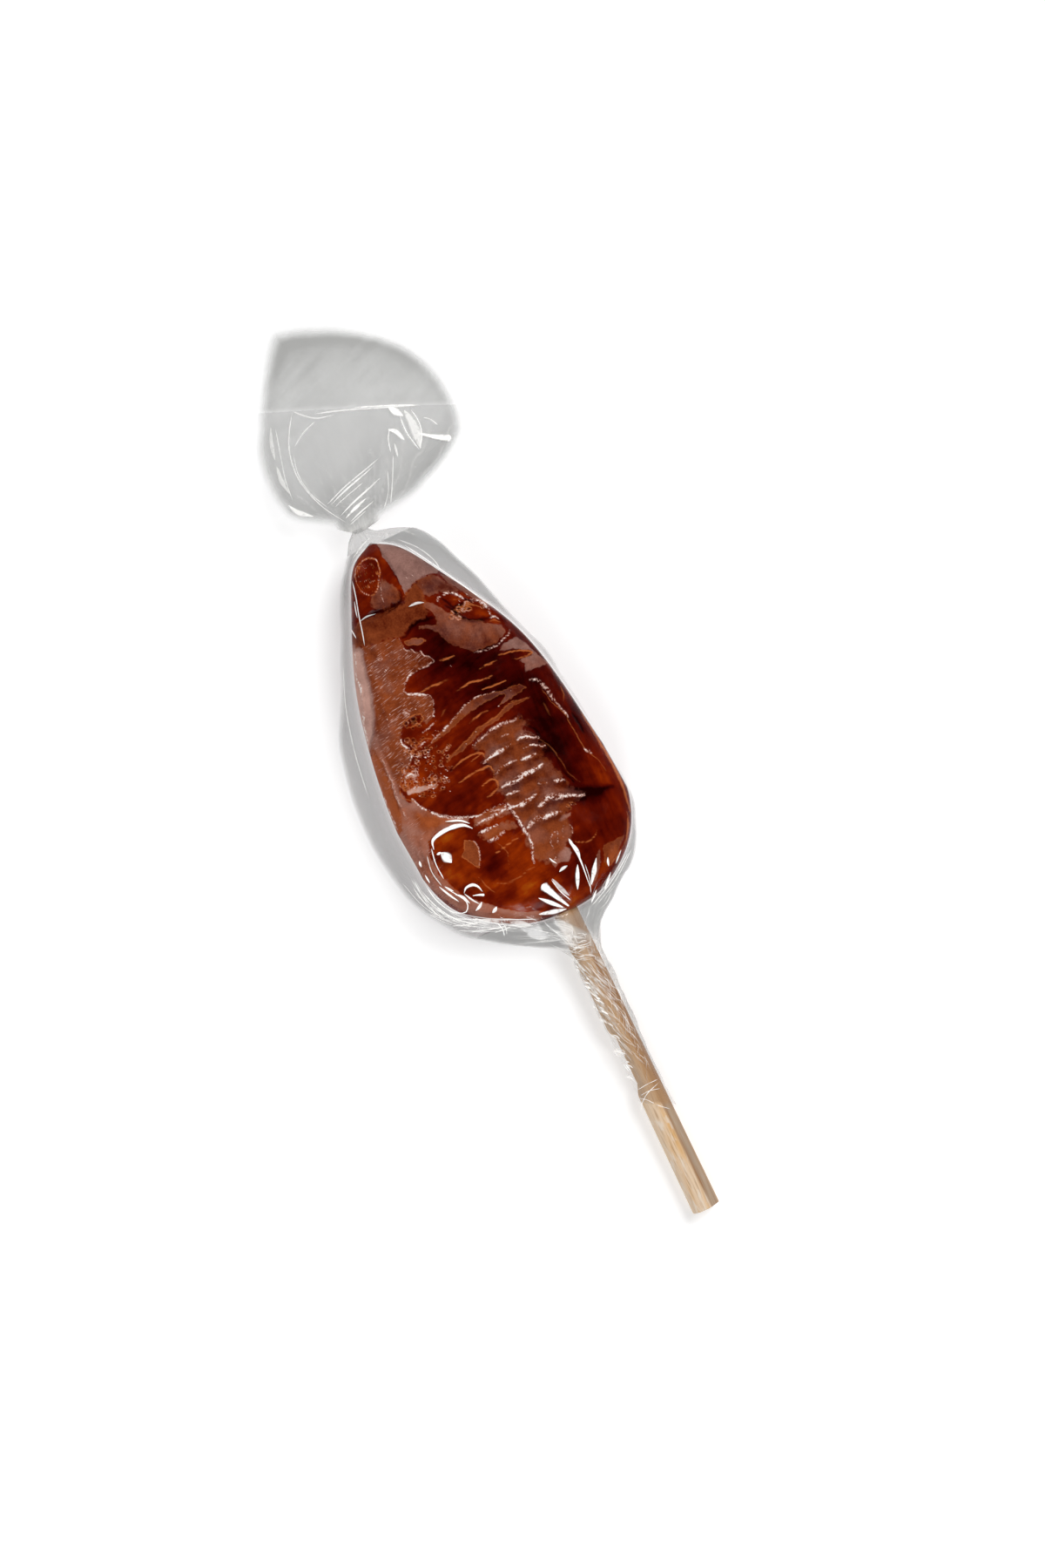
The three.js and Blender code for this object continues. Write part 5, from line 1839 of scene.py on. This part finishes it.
@dataclass
class FilmTail:
    """The film's fanned tail: a flattened tube, its upper layer cut shorter than the lower."""

    form: SweetForm
    finish: FilmFinish = FilmFinish(
        name="tail film", shade_grey=tone(176, 176, 174), clear=0.0, edge=0.0, haze_strength=0.5, shadow=0.4
    )
    length: float = 39.6
    neck_length: float = 2.4
    neck_radius: float = 0.95
    neck_x: float = -3.15
    columns: int = 220
    rows: int = 200
    layer_gap: float = 0.7
    rest: float = 2.5
    soft_rim: float = 2.7
    soft_tip: float = 4.0
    cut_from: Point = (-5.6, 71.3)
    cut_to: Point = (15.7, 62.8)
    fan_back: Point = (5.8, 6)
    pleats: float = 8.125
    gathers: int = 11
    table_gap: float = 0.1
    outline: tuple[tuple[float, float, float], ...] = (
        (86.6, -2.8, -2.4), (86.1, -3.9, -0.4), (85.2, -4.9, 2.6), (84, -5.8, 5.4), (83, -6.5, 7.4),
        (81.5, -7.4, 9.8), (80, -8.2, 11.8), (78, -9.3, 14.3), (76, -10.3, 16.4), (74, -11.4, 18.1),
        (71, -12.8, 19.9), (68, -14.2, 21.1), (65, -15, 21.8), (62, -15.3, 22), (59, -15.2, 21.9),
        (57, -14.9, 21.4), (55.5, -14.5, 20.7), (54, -13.9, 19.2), (52.5, -12.5, 17.2), (51, -10.2, 14.4),
        (49.5, -7.5, 10.8), (48.5, -6.1, 8.2), (47.8, -5.2, 4.2), (47.2, -4.4, 0), (46.74, -4.1, -2.2),
    )

    @property
    def start(self) -> float:
        """Where the tail begins along Y, past the twisted neck."""
        return self.form.base_y + self.form.length + self.neck_length

    def bearing(self, x: Array, y: Array) -> Array:
        """Direction of places from the point that the tail fans out from."""
        return np.arctan2(x - self.form.axis_x + self.fan_back[0], y - self.start + self.fan_back[1])

    def inward(self, places: Array) -> Array:
        """How far places lie inside the tail's rim; the neck doesn't count as rim.

        Args:
            places: the tail's rows and columns.

        Returns:
            A distance in mm for each place.
        """
        outline = np.concatenate([places[:, 0, :2], places[::-1, self.columns // 2, :2]])
        x, y = places.reshape(-1, 3)[:, :2].T
        from_neck = np.hypot(x - self.neck_x, y - self.start)
        return patch_depth(x, y, outline) + 3 * (1 - ease(from_neck, 1.5, 5))

    def rise(self, x: Array, y: Array) -> Array:
        """Height of the tail's middle surface.

        Args:
            x: places across.
            y: places along.

        Returns:
            A height in mm for each place.
        """
        out = np.clip((y - self.start) / self.length, 0, 1)
        top = float(self.form.height(self.form.base_y + self.form.length))
        fall = top + (self.rest - top) * (1 - (1 - out) ** 1.7)
        gathers = 0.75 * np.cos(self.gathers * self.bearing(x, y)) * (1 - out) * ease(out, 0.02, 0.2)
        wave = 0.8 * np.sin(0.2 * (x - self.form.axis_x) + 0.6) * ease(out, 0.1, 0.5)
        return fall + gathers + wave

    def build(self) -> Piece:
        """Models the tail.

        Returns:
            The piece.
        """
        knots = [((right - left) / 2, y, (left + right) / 2) for y, left, right in self.outline]
        line = spline(knots, self.rows)
        angles = np.linspace(0, TURN, self.columns + 1)
        half, y, middle = np.maximum(line[:, 0], 0), line[:, 1], line[:, 2]
        neck = 1 - ease(y, self.start, self.start + 9)
        deep = self.layer_gap / 2 + (self.neck_radius - self.layer_gap / 2) * neck
        deep[0] = 0
        places = flat_rings(half, y, middle, deep, np.zeros_like(y), angles, 2)
        flat = places.reshape(-1, 3)
        out = (flat[:, 1] - self.start) / self.length
        wander = cloud(flat, (5, 9, 5), 91)
        phase = self.pleats * self.bearing(flat[:, 0], flat[:, 1]) + 0.5 * wander
        pleat = ridged(phase) * (1 - ease(out, 0.25, 0.75))
        crinkle = cloud(flat, (2.5, 4, 2.5), 92)
        layer = np.where(flat[:, 2] >= 0, 1.0, -1.0)
        flat[:, 2] += self.rise(flat[:, 0], flat[:, 1]) + (0.22 * pleat + 0.12 * crinkle) * layer
        flat[:, 2] = np.maximum(flat[:, 2], self.table_gap)
        past_cut = (flat[:, 1] - self.cut_from[1]) + 0.4 * (flat[:, 0] - self.cut_from[0])
        # Painted shade: the tail's haze stands for the table's shade seen through it, heavier on the lower
        # layer past the cut.
        haze = np.where(layer > 0, 0.64, 1.06 + 0.35 * ease(past_cut, 0, 1) + 0.3 * ease(past_cut, 3, 14))
        slant = flat[:, :2] @ np.array([[0.9, -0.42], [0.42, 0.9]])
        uneven = 0.1 * cloud(flat, (9, 9, 9), 93) + 0.1 * cloud(slant, (11, 1.3), 94)
        haze = haze * (1.08 + uneven + 0.22 * (1 - ease(out, 0.1, 0.45)) + 0.06 * ease(-flat[:, 0], 3, 10))
        inward = self.inward(places)
        soft = self.soft_rim + (self.soft_tip - self.soft_rim) * ease(out, 0.72, 0.95)
        # A little more painted shade in a band just inside the soft rim.
        rim_band = 1 + 0.12 * bell(inward - soft, 1.4)
        rim = ease(inward / soft, 0, 1)
        haze = haze * rim * rim_band
        white_pleats = 0.22 * ease(pleat, 0.6, 0.9) * between(out, 0.05, 0.3, 0.05)
        milk = (white_pleats + 0.5 * (1 - ease(out, 0.0, 0.08))) * rim
        shape = places.shape[:2]
        marks = {"haze": haze.reshape(shape), "milk": milk.reshape(shape), "layer": layer.reshape(shape)}
        piece = wrap_sheet("film_tail", flat.reshape(places.shape), marks)
        self.cut_upper_layer(piece)
        return piece

    def cut_upper_layer(self, piece: Piece) -> None:
        """Cuts the upper layer off along its slanting edge.

        Args:
            piece: the tail.
        """
        (ax, ay), (bx, by) = self.cut_from, self.cut_to
        beyond = Vector((ay - by, bx - ax, 0)).normalized()
        only(piece)
        with editing():
            bpy.ops.mesh.select_all(action="SELECT")
            on_cut = Vector((ax, ay, 0)) * MM
            bpy.ops.mesh.bisect(plane_co=on_cut, plane_no=beyond)
            bpy.ops.mesh.select_all(action="DESELECT")
        layer = piece.data.attributes["layer"].data
        for face in piece.data.polygons:
            past = (face.center - on_cut).dot(beyond) > 0
            face.select = past and sum(layer[i].value for i in face.vertices) > 0
        with editing():
            bpy.ops.mesh.select_mode(type="FACE")
            bpy.ops.mesh.delete(type="FACE")

    def dress(self, piece: Piece) -> None:
        """Gives the tail its finish and its place in the frame.

        Args:
            piece: the tail.
        """
        piece.data.materials.append(self.finish.material())
        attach(piece, "root")
        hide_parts("film")


# Folds in the film

class FoldShape(Enum):
    """How a fold's width runs along it."""

    LENS = "lens"
    WEDGE = "wedge"
    HAIR = "hair"


@dataclass(frozen=True)
class Fold:
    """A sharp fold in the film, drawn on it from above; its white is partly a painted highlight."""

    shape: FoldShape
    width: float
    strength: float
    points: tuple[Point, ...]


lens, wedge, hair = (partial(Fold, shape) for shape in FoldShape)

BAG_FOLDS = (
    wedge(2.1, 1.0, ((0.85, -21.7), (2.2, -24.4), (3.6, -27))),
    lens(0.9, 1.0, ((-0.6, -23.6), (1, -25.2), (2.7, -26.9))),
    lens(0.9, 0.5, ((2.9, -21.5), (3.5, -23.4), (4.4, -25.4))),
    hair(0.22, 0.9, ((2.7, -21.6), (3.3, -24), (4.3, -26.2))),
    lens(1.0, 0.95, ((-1.7, -26.2), (0.6, -26.8), (3, -27.3))),
    wedge(0.65, 1.0, ((8.3, -16.3), (8.65, -20), (8.3, -25.4))),
    lens(0.8, 1.0, ((7.9, -21), (7, -23), (6.15, -25))),
    lens(0.7, 0.8, ((4.5, -20.9), (5.3, -20.6), (6.2, -20.5))),
    lens(0.35, 0.9, ((3.9, -18), (4.2, -18.7), (4.7, -19.4))),
    lens(0.5, 0.9, ((8.6, -17.3), (8.9, -19), (8.6, -20.6))),
    hair(0.2, 0.7, ((9.1, -21.4), (8.8, -24), (8, -26.6))),
    lens(1.0, 1.0, ((11.3, -21.3), (10, -23.3), (8.65, -25.2))),
    lens(0.5, 1.0, ((13.2, -22), (12.9, -22.7), (12.7, -23.5))),
    lens(0.5, 0.9, ((9.1, -26.4), (8.3, -27.2), (7.4, -28.1))),
    lens(0.6, 0.9, ((12.6, -24.6), (11.6, -25.7), (10.4, -27))),
    lens(0.35, 0.8, ((15.8, -21.8), (15, -22.6), (14, -23.6))),
    hair(0.22, 0.7, ((6.9, -28.8), (12, -26.2), (16.9, -22.7))),
    hair(0.18, 0.6, ((8, -28.9), (12.6, -26.4), (17.6, -22.4))),
    lens(1.0, 1.0, ((-13.7, -8.6), (-13.3, -7.2), (-11.5, -6.5), (-9, -6.4), (-7.2, -6.9), (-6.1, -8))),
    lens(0.5, 0.9, ((-9.9, -5), (-7.5, -5.9), (-6.2, -7))),
    lens(1.9, 1.0, ((-12.8, -9.6), (-12.2, -10.8), (-11.8, -11.9))),
    lens(0.7, 1.0, ((-13.6, -9.6), (-13.2, -9.6), (-12.8, -9.5))),
    hair(0.24, 0.9, ((-14, -8.2), (-14.4, -11), (-14.2, -14))),
    hair(0.2, 0.7, ((-15.2, -9), (-15.6, -12), (-15, -15))),
    lens(0.5, 1.0, ((-16.8, -9.4), (-16.9, -10), (-16.9, -10.5))),
    lens(0.4, 1.0, ((-16.9, -12), (-16.8, -12.8), (-16.7, -13.6))),
    hair(0.24, 1.0, (
        (-17.6, -13.5), (-16.8, -17), (-15, -19.9), (-13, -20.7), (-12.2, -19.4), (-13.2, -17.4),
        (-14.6, -15.6),
    )),
    lens(0.55, 1.0, ((-15.5, -14.8), (-14.6, -16.6), (-13.4, -18.6))),
    lens(0.5, 1.0, ((-14.6, -15.2), (-14.1, -15.9), (-13.5, -16.6))),
    lens(0.6, 1.0, ((-13.5, -17.2), (-12.6, -18), (-11.8, -19.6))),
    lens(0.6, 1.0, ((-12, -17.6), (-11.3, -16.9), (-10, -16.9), (-9.3, -17.6), (-9, -18.6))),
    wedge(0.75, 1.0, ((-8.9, -19.3), (-9.8, -18.9), (-10.8, -18.6))),
    lens(0.4, 0.9, ((-12, -17.7), (-11.2, -19.2), (-10.3, -20.4))),
    lens(0.75, 1.0, ((-11.4, -21.2), (-10.5, -20.8), (-9.8, -20.2))),
    lens(0.8, 1.0, ((-8.9, -22.7), (-8.3, -22.4), (-7.8, -22))),
    hair(0.22, 0.8, ((-15.8, -20.8), (-9, -24), (-2, -27))),
    hair(0.2, 0.7, ((-17.5, -14.5), (-14.5, -20), (-10.5, -23), (-5.5, -25.4))),
    hair(0.18, 0.6, ((-18.8, -15.5), (-15.5, -21.4), (-11, -24.6), (-6, -26.8))),
    lens(1.3, 0.45, ((-12.6, -22.4), (-10.6, -23.6), (-8.4, -24.6))),
    hair(0.24, 0.9, ((-8.9, -24.6), (-8.5, -26), (-8.7, -27.3))),
    hair(0.2, 0.8, ((-8.2, -24.5), (-7.9, -26), (-8.2, -27.2))),
    lens(1.3, 0.5, ((-6.8, -25.4), (-5.2, -26.4), (-3.6, -27.6))),
    hair(0.22, 0.8, ((-10, -26), (-8.4, -26.2), (-7, -26.2))),
    hair(0.16, 0.7, ((0.9, -62.6), (2.2, -63.4), (3.6, -65), (5.4, -66.6))),
    hair(0.16, 0.8, ((0.4, -64.8), (1.6, -63.4), (3, -62.4), (5.3, -61.6))),
    hair(0.14, 0.8, ((1.5, -61.3), (3.4, -61), (5.5, -61))),
    hair(0.14, 0.7, ((1.6, -62.4), (3.2, -62.2), (5.2, -62.6))),
    lens(0.34, 0.5, ((-9.4, 32.4), (-8, 32.7), (-6.3, 32.5))),
    hair(0.26, 0.7, ((-7.7, 39.5), (-8.3, 36.5), (-9.1, 33.4), (-9.7, 30.6), (-10.3, 28.2))),
    lens(0.3, 0.7, ((-8.8, 36), (-9.2, 34.6), (-9.5, 33.2))),
    lens(0.3, 0.7, ((-11.3, 32), (-11.2, 31), (-11.1, 30))),
    lens(0.55, 0.6, ((-0.6, 31.3), (0.8, 31.3), (2.1, 30.9))),
    hair(0.24, 0.7, ((3, 41.5), (5.5, 37.5), (8.5, 32.5), (12.5, 25.5))),
    hair(0.26, 0.5, ((2.2, 43), (5, 40), (6.6, 37), (7, 35))),
    lens(0.35, 0.6, ((-6, 43), (-3.8, 44.4), (-2, 45.1))),
    hair(0.2, 0.5, ((-20.4, 4), (-19.4, 12), (-17.6, 20), (-15, 27))),
)


@dataclass(frozen=True)
class Streaks:
    """Fine folds scattered over part of the film: how many, from where, how steep, long, wide and bright."""

    count: int
    x: Point
    y: Point
    slope: Point
    long: Point
    width: Point
    strength: Point
    seed: int

    def folds(self) -> tuple[Fold, ...]:
        """The scattered folds.

        Returns:
            The folds, each slightly bent.
        """
        dice = np.random.default_rng(self.seed)
        made = []
        for _ in range(self.count):
            x, y, slope, long, width, strength = (
                dice.uniform(*limits)
                for limits in (self.x, self.y, self.slope, self.long, self.width, self.strength)
            )
            way = (math.cos(math.radians(slope)) * long, math.sin(math.radians(slope)) * long)
            bend = dice.uniform(-0.06, 0.06) * long
            middle = (x + way[0] / 2 + bend, y + way[1] / 2 + bend)
            last = (min(x + way[0], self.x[1] + 0.6), y + way[1])
            made.append(lens(width, strength, ((x, y), middle, last)))
        return tuple(made)


SLEEVE_STREAKS = (
    Streaks(80, (0.3, 4.4), (-56, -36), (-80, -60), (2, 5.5), (0.07, 0.17), (0.2, 0.55), 12),
    Streaks(34, (3.2, 4.4), (-61, -40), (62, 82), (1.5, 4), (0.06, 0.13), (0.2, 0.5), 13),
    Streaks(44, (0.3, 1.7), (-59, -36), (-75, -40), (0.6, 1.7), (0.18, 0.44), (0.5, 0.95), 14),
    Streaks(44, (-0.6, 3.4), (-37, -31.4), (-52, 4), (1.2, 3.4), (0.08, 0.2), (0.3, 0.75), 15),
    Streaks(16, (-3, 0.6), (-32, -28.4), (-52, -36), (2.5, 6), (0.1, 0.24), (0.3, 0.7), 16),
    Streaks(40, (1.8, 4.6), (-50, -37), (-82, -52), (1, 3), (0.06, 0.14), (0.25, 0.6), 17),
)


def cone_streaks(count: int = 24, seed: int = 5) -> tuple[Fold, ...]:
    """Straight streaks where the bag is drawn in to the stick.

    Args:
        count: how many.
        seed: which pattern.

    Returns:
        The folds.
    """
    gathered_at = (2.9, -33)
    left_bearings, right_bearings = (132, 166), (16, 56)
    left_longest, right_longest = 9, 5
    dice = np.random.default_rng(seed)
    folds = []
    for index in range(count):
        on_left = index % 3 > 0
        bearing = math.radians(dice.uniform(*(left_bearings if on_left else right_bearings)))
        near = dice.uniform(1.5, 8)
        long = dice.uniform(2, left_longest if on_left else right_longest)
        out = (math.cos(bearing), math.sin(bearing))
        first = (gathered_at[0] + near * out[0], gathered_at[1] + near * out[1])
        last = (first[0] + long * out[0], first[1] + long * out[1])
        bend = dice.uniform(-0.25, 0.25)
        middle = ((first[0] + last[0]) / 2 + bend, (first[1] + last[1]) / 2 - bend)
        folds.append(lens(dice.uniform(0.1, 0.22), dice.uniform(0.2, 0.6), (first, middle, last)))
    return tuple(folds)


def rim_hairs(count: int = 26, seed: int = 6) -> tuple[Fold, ...]:
    """Fine folds that run along the sweet's lower left rim and in to the stick.

    Args:
        count: how many.
        seed: which pattern.

    Returns:
        The folds.
    """
    rim = spline(((-20.2, -10), (-18.6, -16.5), (-15.2, -21.5), (-9.5, -25.6), (-3.5, -28.4), (0.6, -31)), 60)
    out = np.array([-0.6, -0.8])
    dice = np.random.default_rng(seed)
    folds = []
    for _ in range(count):
        first, long = dice.integers(0, 38), dice.integers(10, 22)
        start, end = dice.uniform(-1.6, 1.6, 2)
        path = rim[first : first + long : 3]
        path = path + out * np.linspace(start, end * 0.6, len(path))[:, None]
        folds.append(hair(dice.uniform(0.12, 0.26), dice.uniform(0.3, 0.8), tuple(map(tuple, path))))
    return tuple(folds)


TAIL_FOLDS = (
    hair(0.26, 0.8, ((-6.4, 53.6), (-1, 55.6), (5, 57.3))),
    lens(0.4, 0.9, ((-5.8, 53.3), (-1.4, 54.9), (3.4, 56.4))),
    hair(0.2, 0.7, ((-5.4, 52.6), (-2, 53.7), (0.8, 54.6))),
    lens(0.42, 0.9, ((-5, 50.8), (-1, 52.4), (3.8, 54))),
    lens(0.7, 0.9, ((-4.4, 50), (-2, 51), (0.2, 51.8))),
    lens(0.34, 0.8, ((-3.8, 49.1), (-1.4, 50), (1.3, 50.8))),
    hair(0.2, 0.6, ((-4.2, 48.6), (-2.4, 49.2), (-0.6, 49.8))),
    hair(0.22, 0.6, ((3.8, 49.2), (5.4, 52.2), (7.6, 56.8))),
    hair(0.2, 0.5, ((2.4, 48.8), (4.2, 51.2), (5.6, 54.6))),
    hair(0.3, 0.7, ((-2.2, 69.2), (3, 67.6), (9, 65.3), (15.6, 62.9))),
    hair(0.3, 0.9, ((4.6, 67.4), (10, 65.3), (15, 63.2))),
    hair(0.24, 0.6, ((-5.4, 71.2), (-3.8, 69.6), (-2, 68.3), (1, 67.6))),
    hair(0.24, 0.6, ((-5.4, 71.2), (-7.2, 68.4), (-8.7, 65), (-9.2, 60), (-7.5, 54), (-4.6, 49.2))),
    hair(0.2, 0.5, ((-9.3, 69.8), (-10.4, 65), (-11.3, 60.8), (-11.6, 56.6))),
    hair(0.2, 0.5, ((-8.3, 64.2), (-8.9, 60.8), (-8.3, 56.7), (-6.5, 53))),
    lens(0.9, 0.35, ((-10, 70.2), (-11, 67.6), (-11.6, 64.6))),
    lens(1.1, 0.4, ((-11.8, 63.4), (-12, 60.6), (-11.6, 58))),
    lens(1.1, 0.75, ((-12.6, 56.2), (-11.6, 54.4), (-9.4, 52.6))),
    hair(0.22, 0.7, ((-7.5, 65.4), (-5.2, 66.9), (-2.5, 67.9))),
    lens(1.5, 0.95, ((10.2, 64.9), (10.9, 63.8), (11.9, 62.4))),
    lens(2.2, 0.55, ((12.5, 63.2), (12.9, 60), (12.4, 56))),
    hair(0.26, 0.9, ((11.4, 62.6), (11.3, 59.6), (12.1, 55.8))),
    hair(0.26, 0.8, ((13.6, 62.9), (14, 60.4), (13.6, 58.2), (12.2, 55.8))),
    wedge(1.9, 0.95, ((18, 55.4), (15.6, 56.8), (13, 58.6))),
    lens(1.1, 0.9, ((8.6, 61.2), (9.6, 60.4), (10.4, 58.4))),
    hair(0.24, 0.7, ((8.9, 61.4), (7.9, 59.6), (7.4, 57.4))),
    lens(0.5, 0.6, ((8.6, 58.6), (8.4, 57.4), (8.2, 56.2))),
    hair(0.24, 0.6, ((15, 60.8), (16, 60), (16.8, 58.6))),
)


@dataclass
class FilmFolds:
    """Sharp folds on the film, partly painted highlights: thin tents draped over it from above."""

    name: str
    folds: tuple[Fold, ...]
    under: Piece
    finish: FoldHighlightFinish = FoldHighlightFinish()
    steps: int = 26
    across: int = 7
    lift: float = 0.06
    tent: float = 0.28
    drop_height: float = 100.0
    search_height: float = 8.0

    def profile(self, shape: FoldShape, share: Array) -> Array:
        """Share of the full width along a fold.

        Args:
            shape: the fold's kind.
            share: shares of its length.

        Returns:
            A share of the width for each.
        """
        if shape is FoldShape.WEDGE:
            return ease(share, 0, 0.06) * (1 - 0.86 * share)
        if shape is FoldShape.HAIR:
            return np.minimum(ease(share, -0.01, 0.12), 1 - ease(share, 0.88, 1.01))
        return np.sin(math.pi * np.clip(share, 0.015, 0.985)) ** 0.7

    def strip(self, fold: Fold, tree: BVHTree) -> Piece:
        """One fold.

        Args:
            fold: what to draw.
            tree: the film it lies on.

        Returns:
            The fold as a piece of its own.
        """
        path = spline(fold.points, self.steps)
        ahead = np.gradient(path, axis=0)
        ahead /= np.linalg.norm(ahead, axis=1)[:, None]
        beside = np.stack([-ahead[:, 1], ahead[:, 0]], axis=1)
        share = np.linspace(0, 1, self.steps)
        wobble = 1 + 0.25 * cloud(path, 1.1, 101, 2)
        half = 0.5 * fold.width * self.profile(fold.shape, share) * wobble
        across = np.linspace(-1, 1, self.across)
        spots = path[:, None] + beside[:, None] * (half[:, None] * across[None])[:, :, None]
        body = np.broadcast_to(1 - np.abs(across)[None], spots.shape[:2])
        top = np.zeros(spots.shape[:2])
        for row, column in np.ndindex(top.shape):
            start = Vector((*(spots[row, column] * MM), self.drop_height * MM))
            hit = tree.ray_cast(start, Vector((0, 0, -1)))[0]
            if hit is None:
                hit = tree.find_nearest(Vector((start.x, start.y, self.search_height * MM)))[0]
            top[row, column] = hit.z / MM
        top += self.lift + self.tent * half[:, None] * body
        places = np.concatenate([spots, top[:, :, None]], axis=2)
        strength = np.full(top.shape, fold.strength)
        return wrap_sheet("fold", places, {"body": np.array(body), "strength": strength})

    def build(self) -> Piece:
        """Models all folds and joins them.

        Returns:
            The piece.
        """
        tree = BVHTree.FromObject(self.under, bpy.context.evaluated_depsgraph_get())
        strips = [self.strip(fold, tree) for fold in self.folds]
        only(strips[0])
        for strip in strips[1:]:
            strip.select_set(True)
        bpy.ops.object.join()
        piece = bpy.context.object
        piece.name = self.name
        piece.data.name = self.name
        return piece

    def dress(self, piece: Piece) -> None:
        """Gives the folds their finish and their place in the frame.

        Args:
            piece: the folds.
        """
        piece.data.materials.append(self.finish.material())
        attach(piece, "root")


# Studio

@dataclass(frozen=True)
class Softbox:
    """A square lamp that faces the sweet."""

    name: str
    power: float
    side: float
    far: float
    bearing: float
    rise: float
    in_reflections: bool


@dataclass
class Studio:
    """White table, soft lamps, pale walls and the camera above."""

    view_middle: Point = (4.86, -4.5)
    view_turn: float = -24.0
    view_long_side: float = 272.7
    view_height: float = 6.0
    lens: float = 100.0
    sensor: float = 36.0
    floor_side: float = 8.0
    floor_tone: Colour = tone(220, 220, 220)
    floor_rough: float = 0.8
    floor_glow: float = 0.4
    wall_glow: float = 0.55
    wall_tones: tuple[tuple[float, Colour], ...] = (
        (0.0, tone(190, 190, 191)),
        (0.3, tone(160, 160, 162)),
        (0.75, tone(36, 36, 38)),
    )
    lamps: tuple[Softbox, ...] = (
        Softbox("key_lamp", 7.5, 0.45, 1.0, 67, 56, False),
        Softbox("sky_lamp", 2.0, 1.7, 1.1, 0, 90, False),
        Softbox("fill_lamp", 2.6, 1.0, 1.2, 262, 32, False),
        Softbox("glint_lamp", 2.2, 0.25, 0.9, 195, 35, True),
        Softbox("back_lamp", 1.2, 0.4, 1.1, 330, 28, True),
    )

    def floor(self) -> None:
        """A plain white table top."""
        bpy.ops.object.select_all(action="DESELECT")
        bpy.ops.mesh.primitive_grid_add(x_subdivisions=4, y_subdivisions=4, size=self.floor_side)
        table = bpy.context.object
        table.name = "table_top"
        nodes, material = Shading.of_material("white table")
        sockets = {
            "Base Color": self.floor_tone,
            "Roughness": self.floor_rough,
            "Emission Color": (1, 1, 1, 1),
            "Emission Strength": self.floor_glow,
        }
        shader = nodes.node("BsdfPrincipled", sockets)
        nodes.finish(shader.outputs[0])
        table.data.materials.append(material)

    def lights(self) -> None:
        """Lamps round the table."""
        for box in self.lamps:
            turn, up = math.radians(box.bearing), math.radians(box.rise)
            way = Vector((math.sin(turn) * math.cos(up), math.cos(turn) * math.cos(up), math.sin(up)))
            lamp = bpy.data.lights.new(box.name, "AREA")
            lamp.energy = box.power
            lamp.size = box.side
            holder = bpy.data.objects.new(box.name, lamp)
            holder.location = way * box.far
            holder.visible_glossy = box.in_reflections
            holder.rotation_mode = "QUATERNION"
            holder.rotation_quaternion = way.to_track_quat("Z", "Y")
            bpy.context.collection.objects.link(holder)

    def walls(self) -> None:
        """Light from the walls of the studio, pale low down and dark overhead."""
        world = bpy.data.worlds.new("studio walls")
        world.use_nodes = True
        nodes = Shading(world.node_tree)
        way = nodes.node("TexCoord").outputs["Generated"]
        up = nodes.node("SeparateXYZ", {0: way}).outputs[2]
        shade = nodes.ramp(up, self.wall_tones)
        back = nodes.node("Background", {"Color": shade, "Strength": self.wall_glow})
        nodes.node("OutputWorld", {"Surface": back.outputs[0]})
        bpy.context.scene.world = world

    def camera(self) -> None:
        """The camera straight above."""
        data = bpy.data.cameras.new("view")
        data.lens = self.lens
        data.sensor_width = self.sensor
        far = self.view_long_side * self.lens / self.sensor
        holder = bpy.data.objects.new("view", data)
        holder.location = Vector((*self.view_middle, far + self.view_height)) * MM
        holder.rotation_euler = (0, 0, math.radians(self.view_turn))
        bpy.context.collection.objects.link(holder)
        bpy.context.scene.camera = holder
        bpy.context.scene.view_settings.view_transform = "Standard"

    def build(self) -> None:
        """Sets up the whole studio."""
        self.floor()
        self.lights()
        self.walls()
        self.camera()


def make(maker: CaramelSlab | WoodStick | FilmBag | FilmTail | FilmFolds) -> Piece:
    """Builds and dresses one piece, and reports it.

    Args:
        maker: what makes the piece.

    Returns:
        The piece.
    """
    piece = maker.build()
    maker.dress(piece)
    LOG.info("made %s with %d faces", piece.name, len(piece.data.polygons))
    return piece


def main() -> None:
    """Builds the studio and every piece."""
    logging.basicConfig(level=logging.INFO, format="%(message)s")
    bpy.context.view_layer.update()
    Studio().build()
    form = SweetForm()
    make(CaramelSlab(form))
    make(WoodStick(form))
    bag = make(FilmBag(form))
    tail = make(FilmTail(form))
    scattered = (fold for streaks in SLEEVE_STREAKS for fold in streaks.folds())
    make(FilmFolds("bag_folds", (*BAG_FOLDS, *cone_streaks(), *rim_hairs(), *scattered), bag))
    make(FilmFolds("tail_folds", TAIL_FOLDS, tail))


if __name__ == "__main__":
    main()
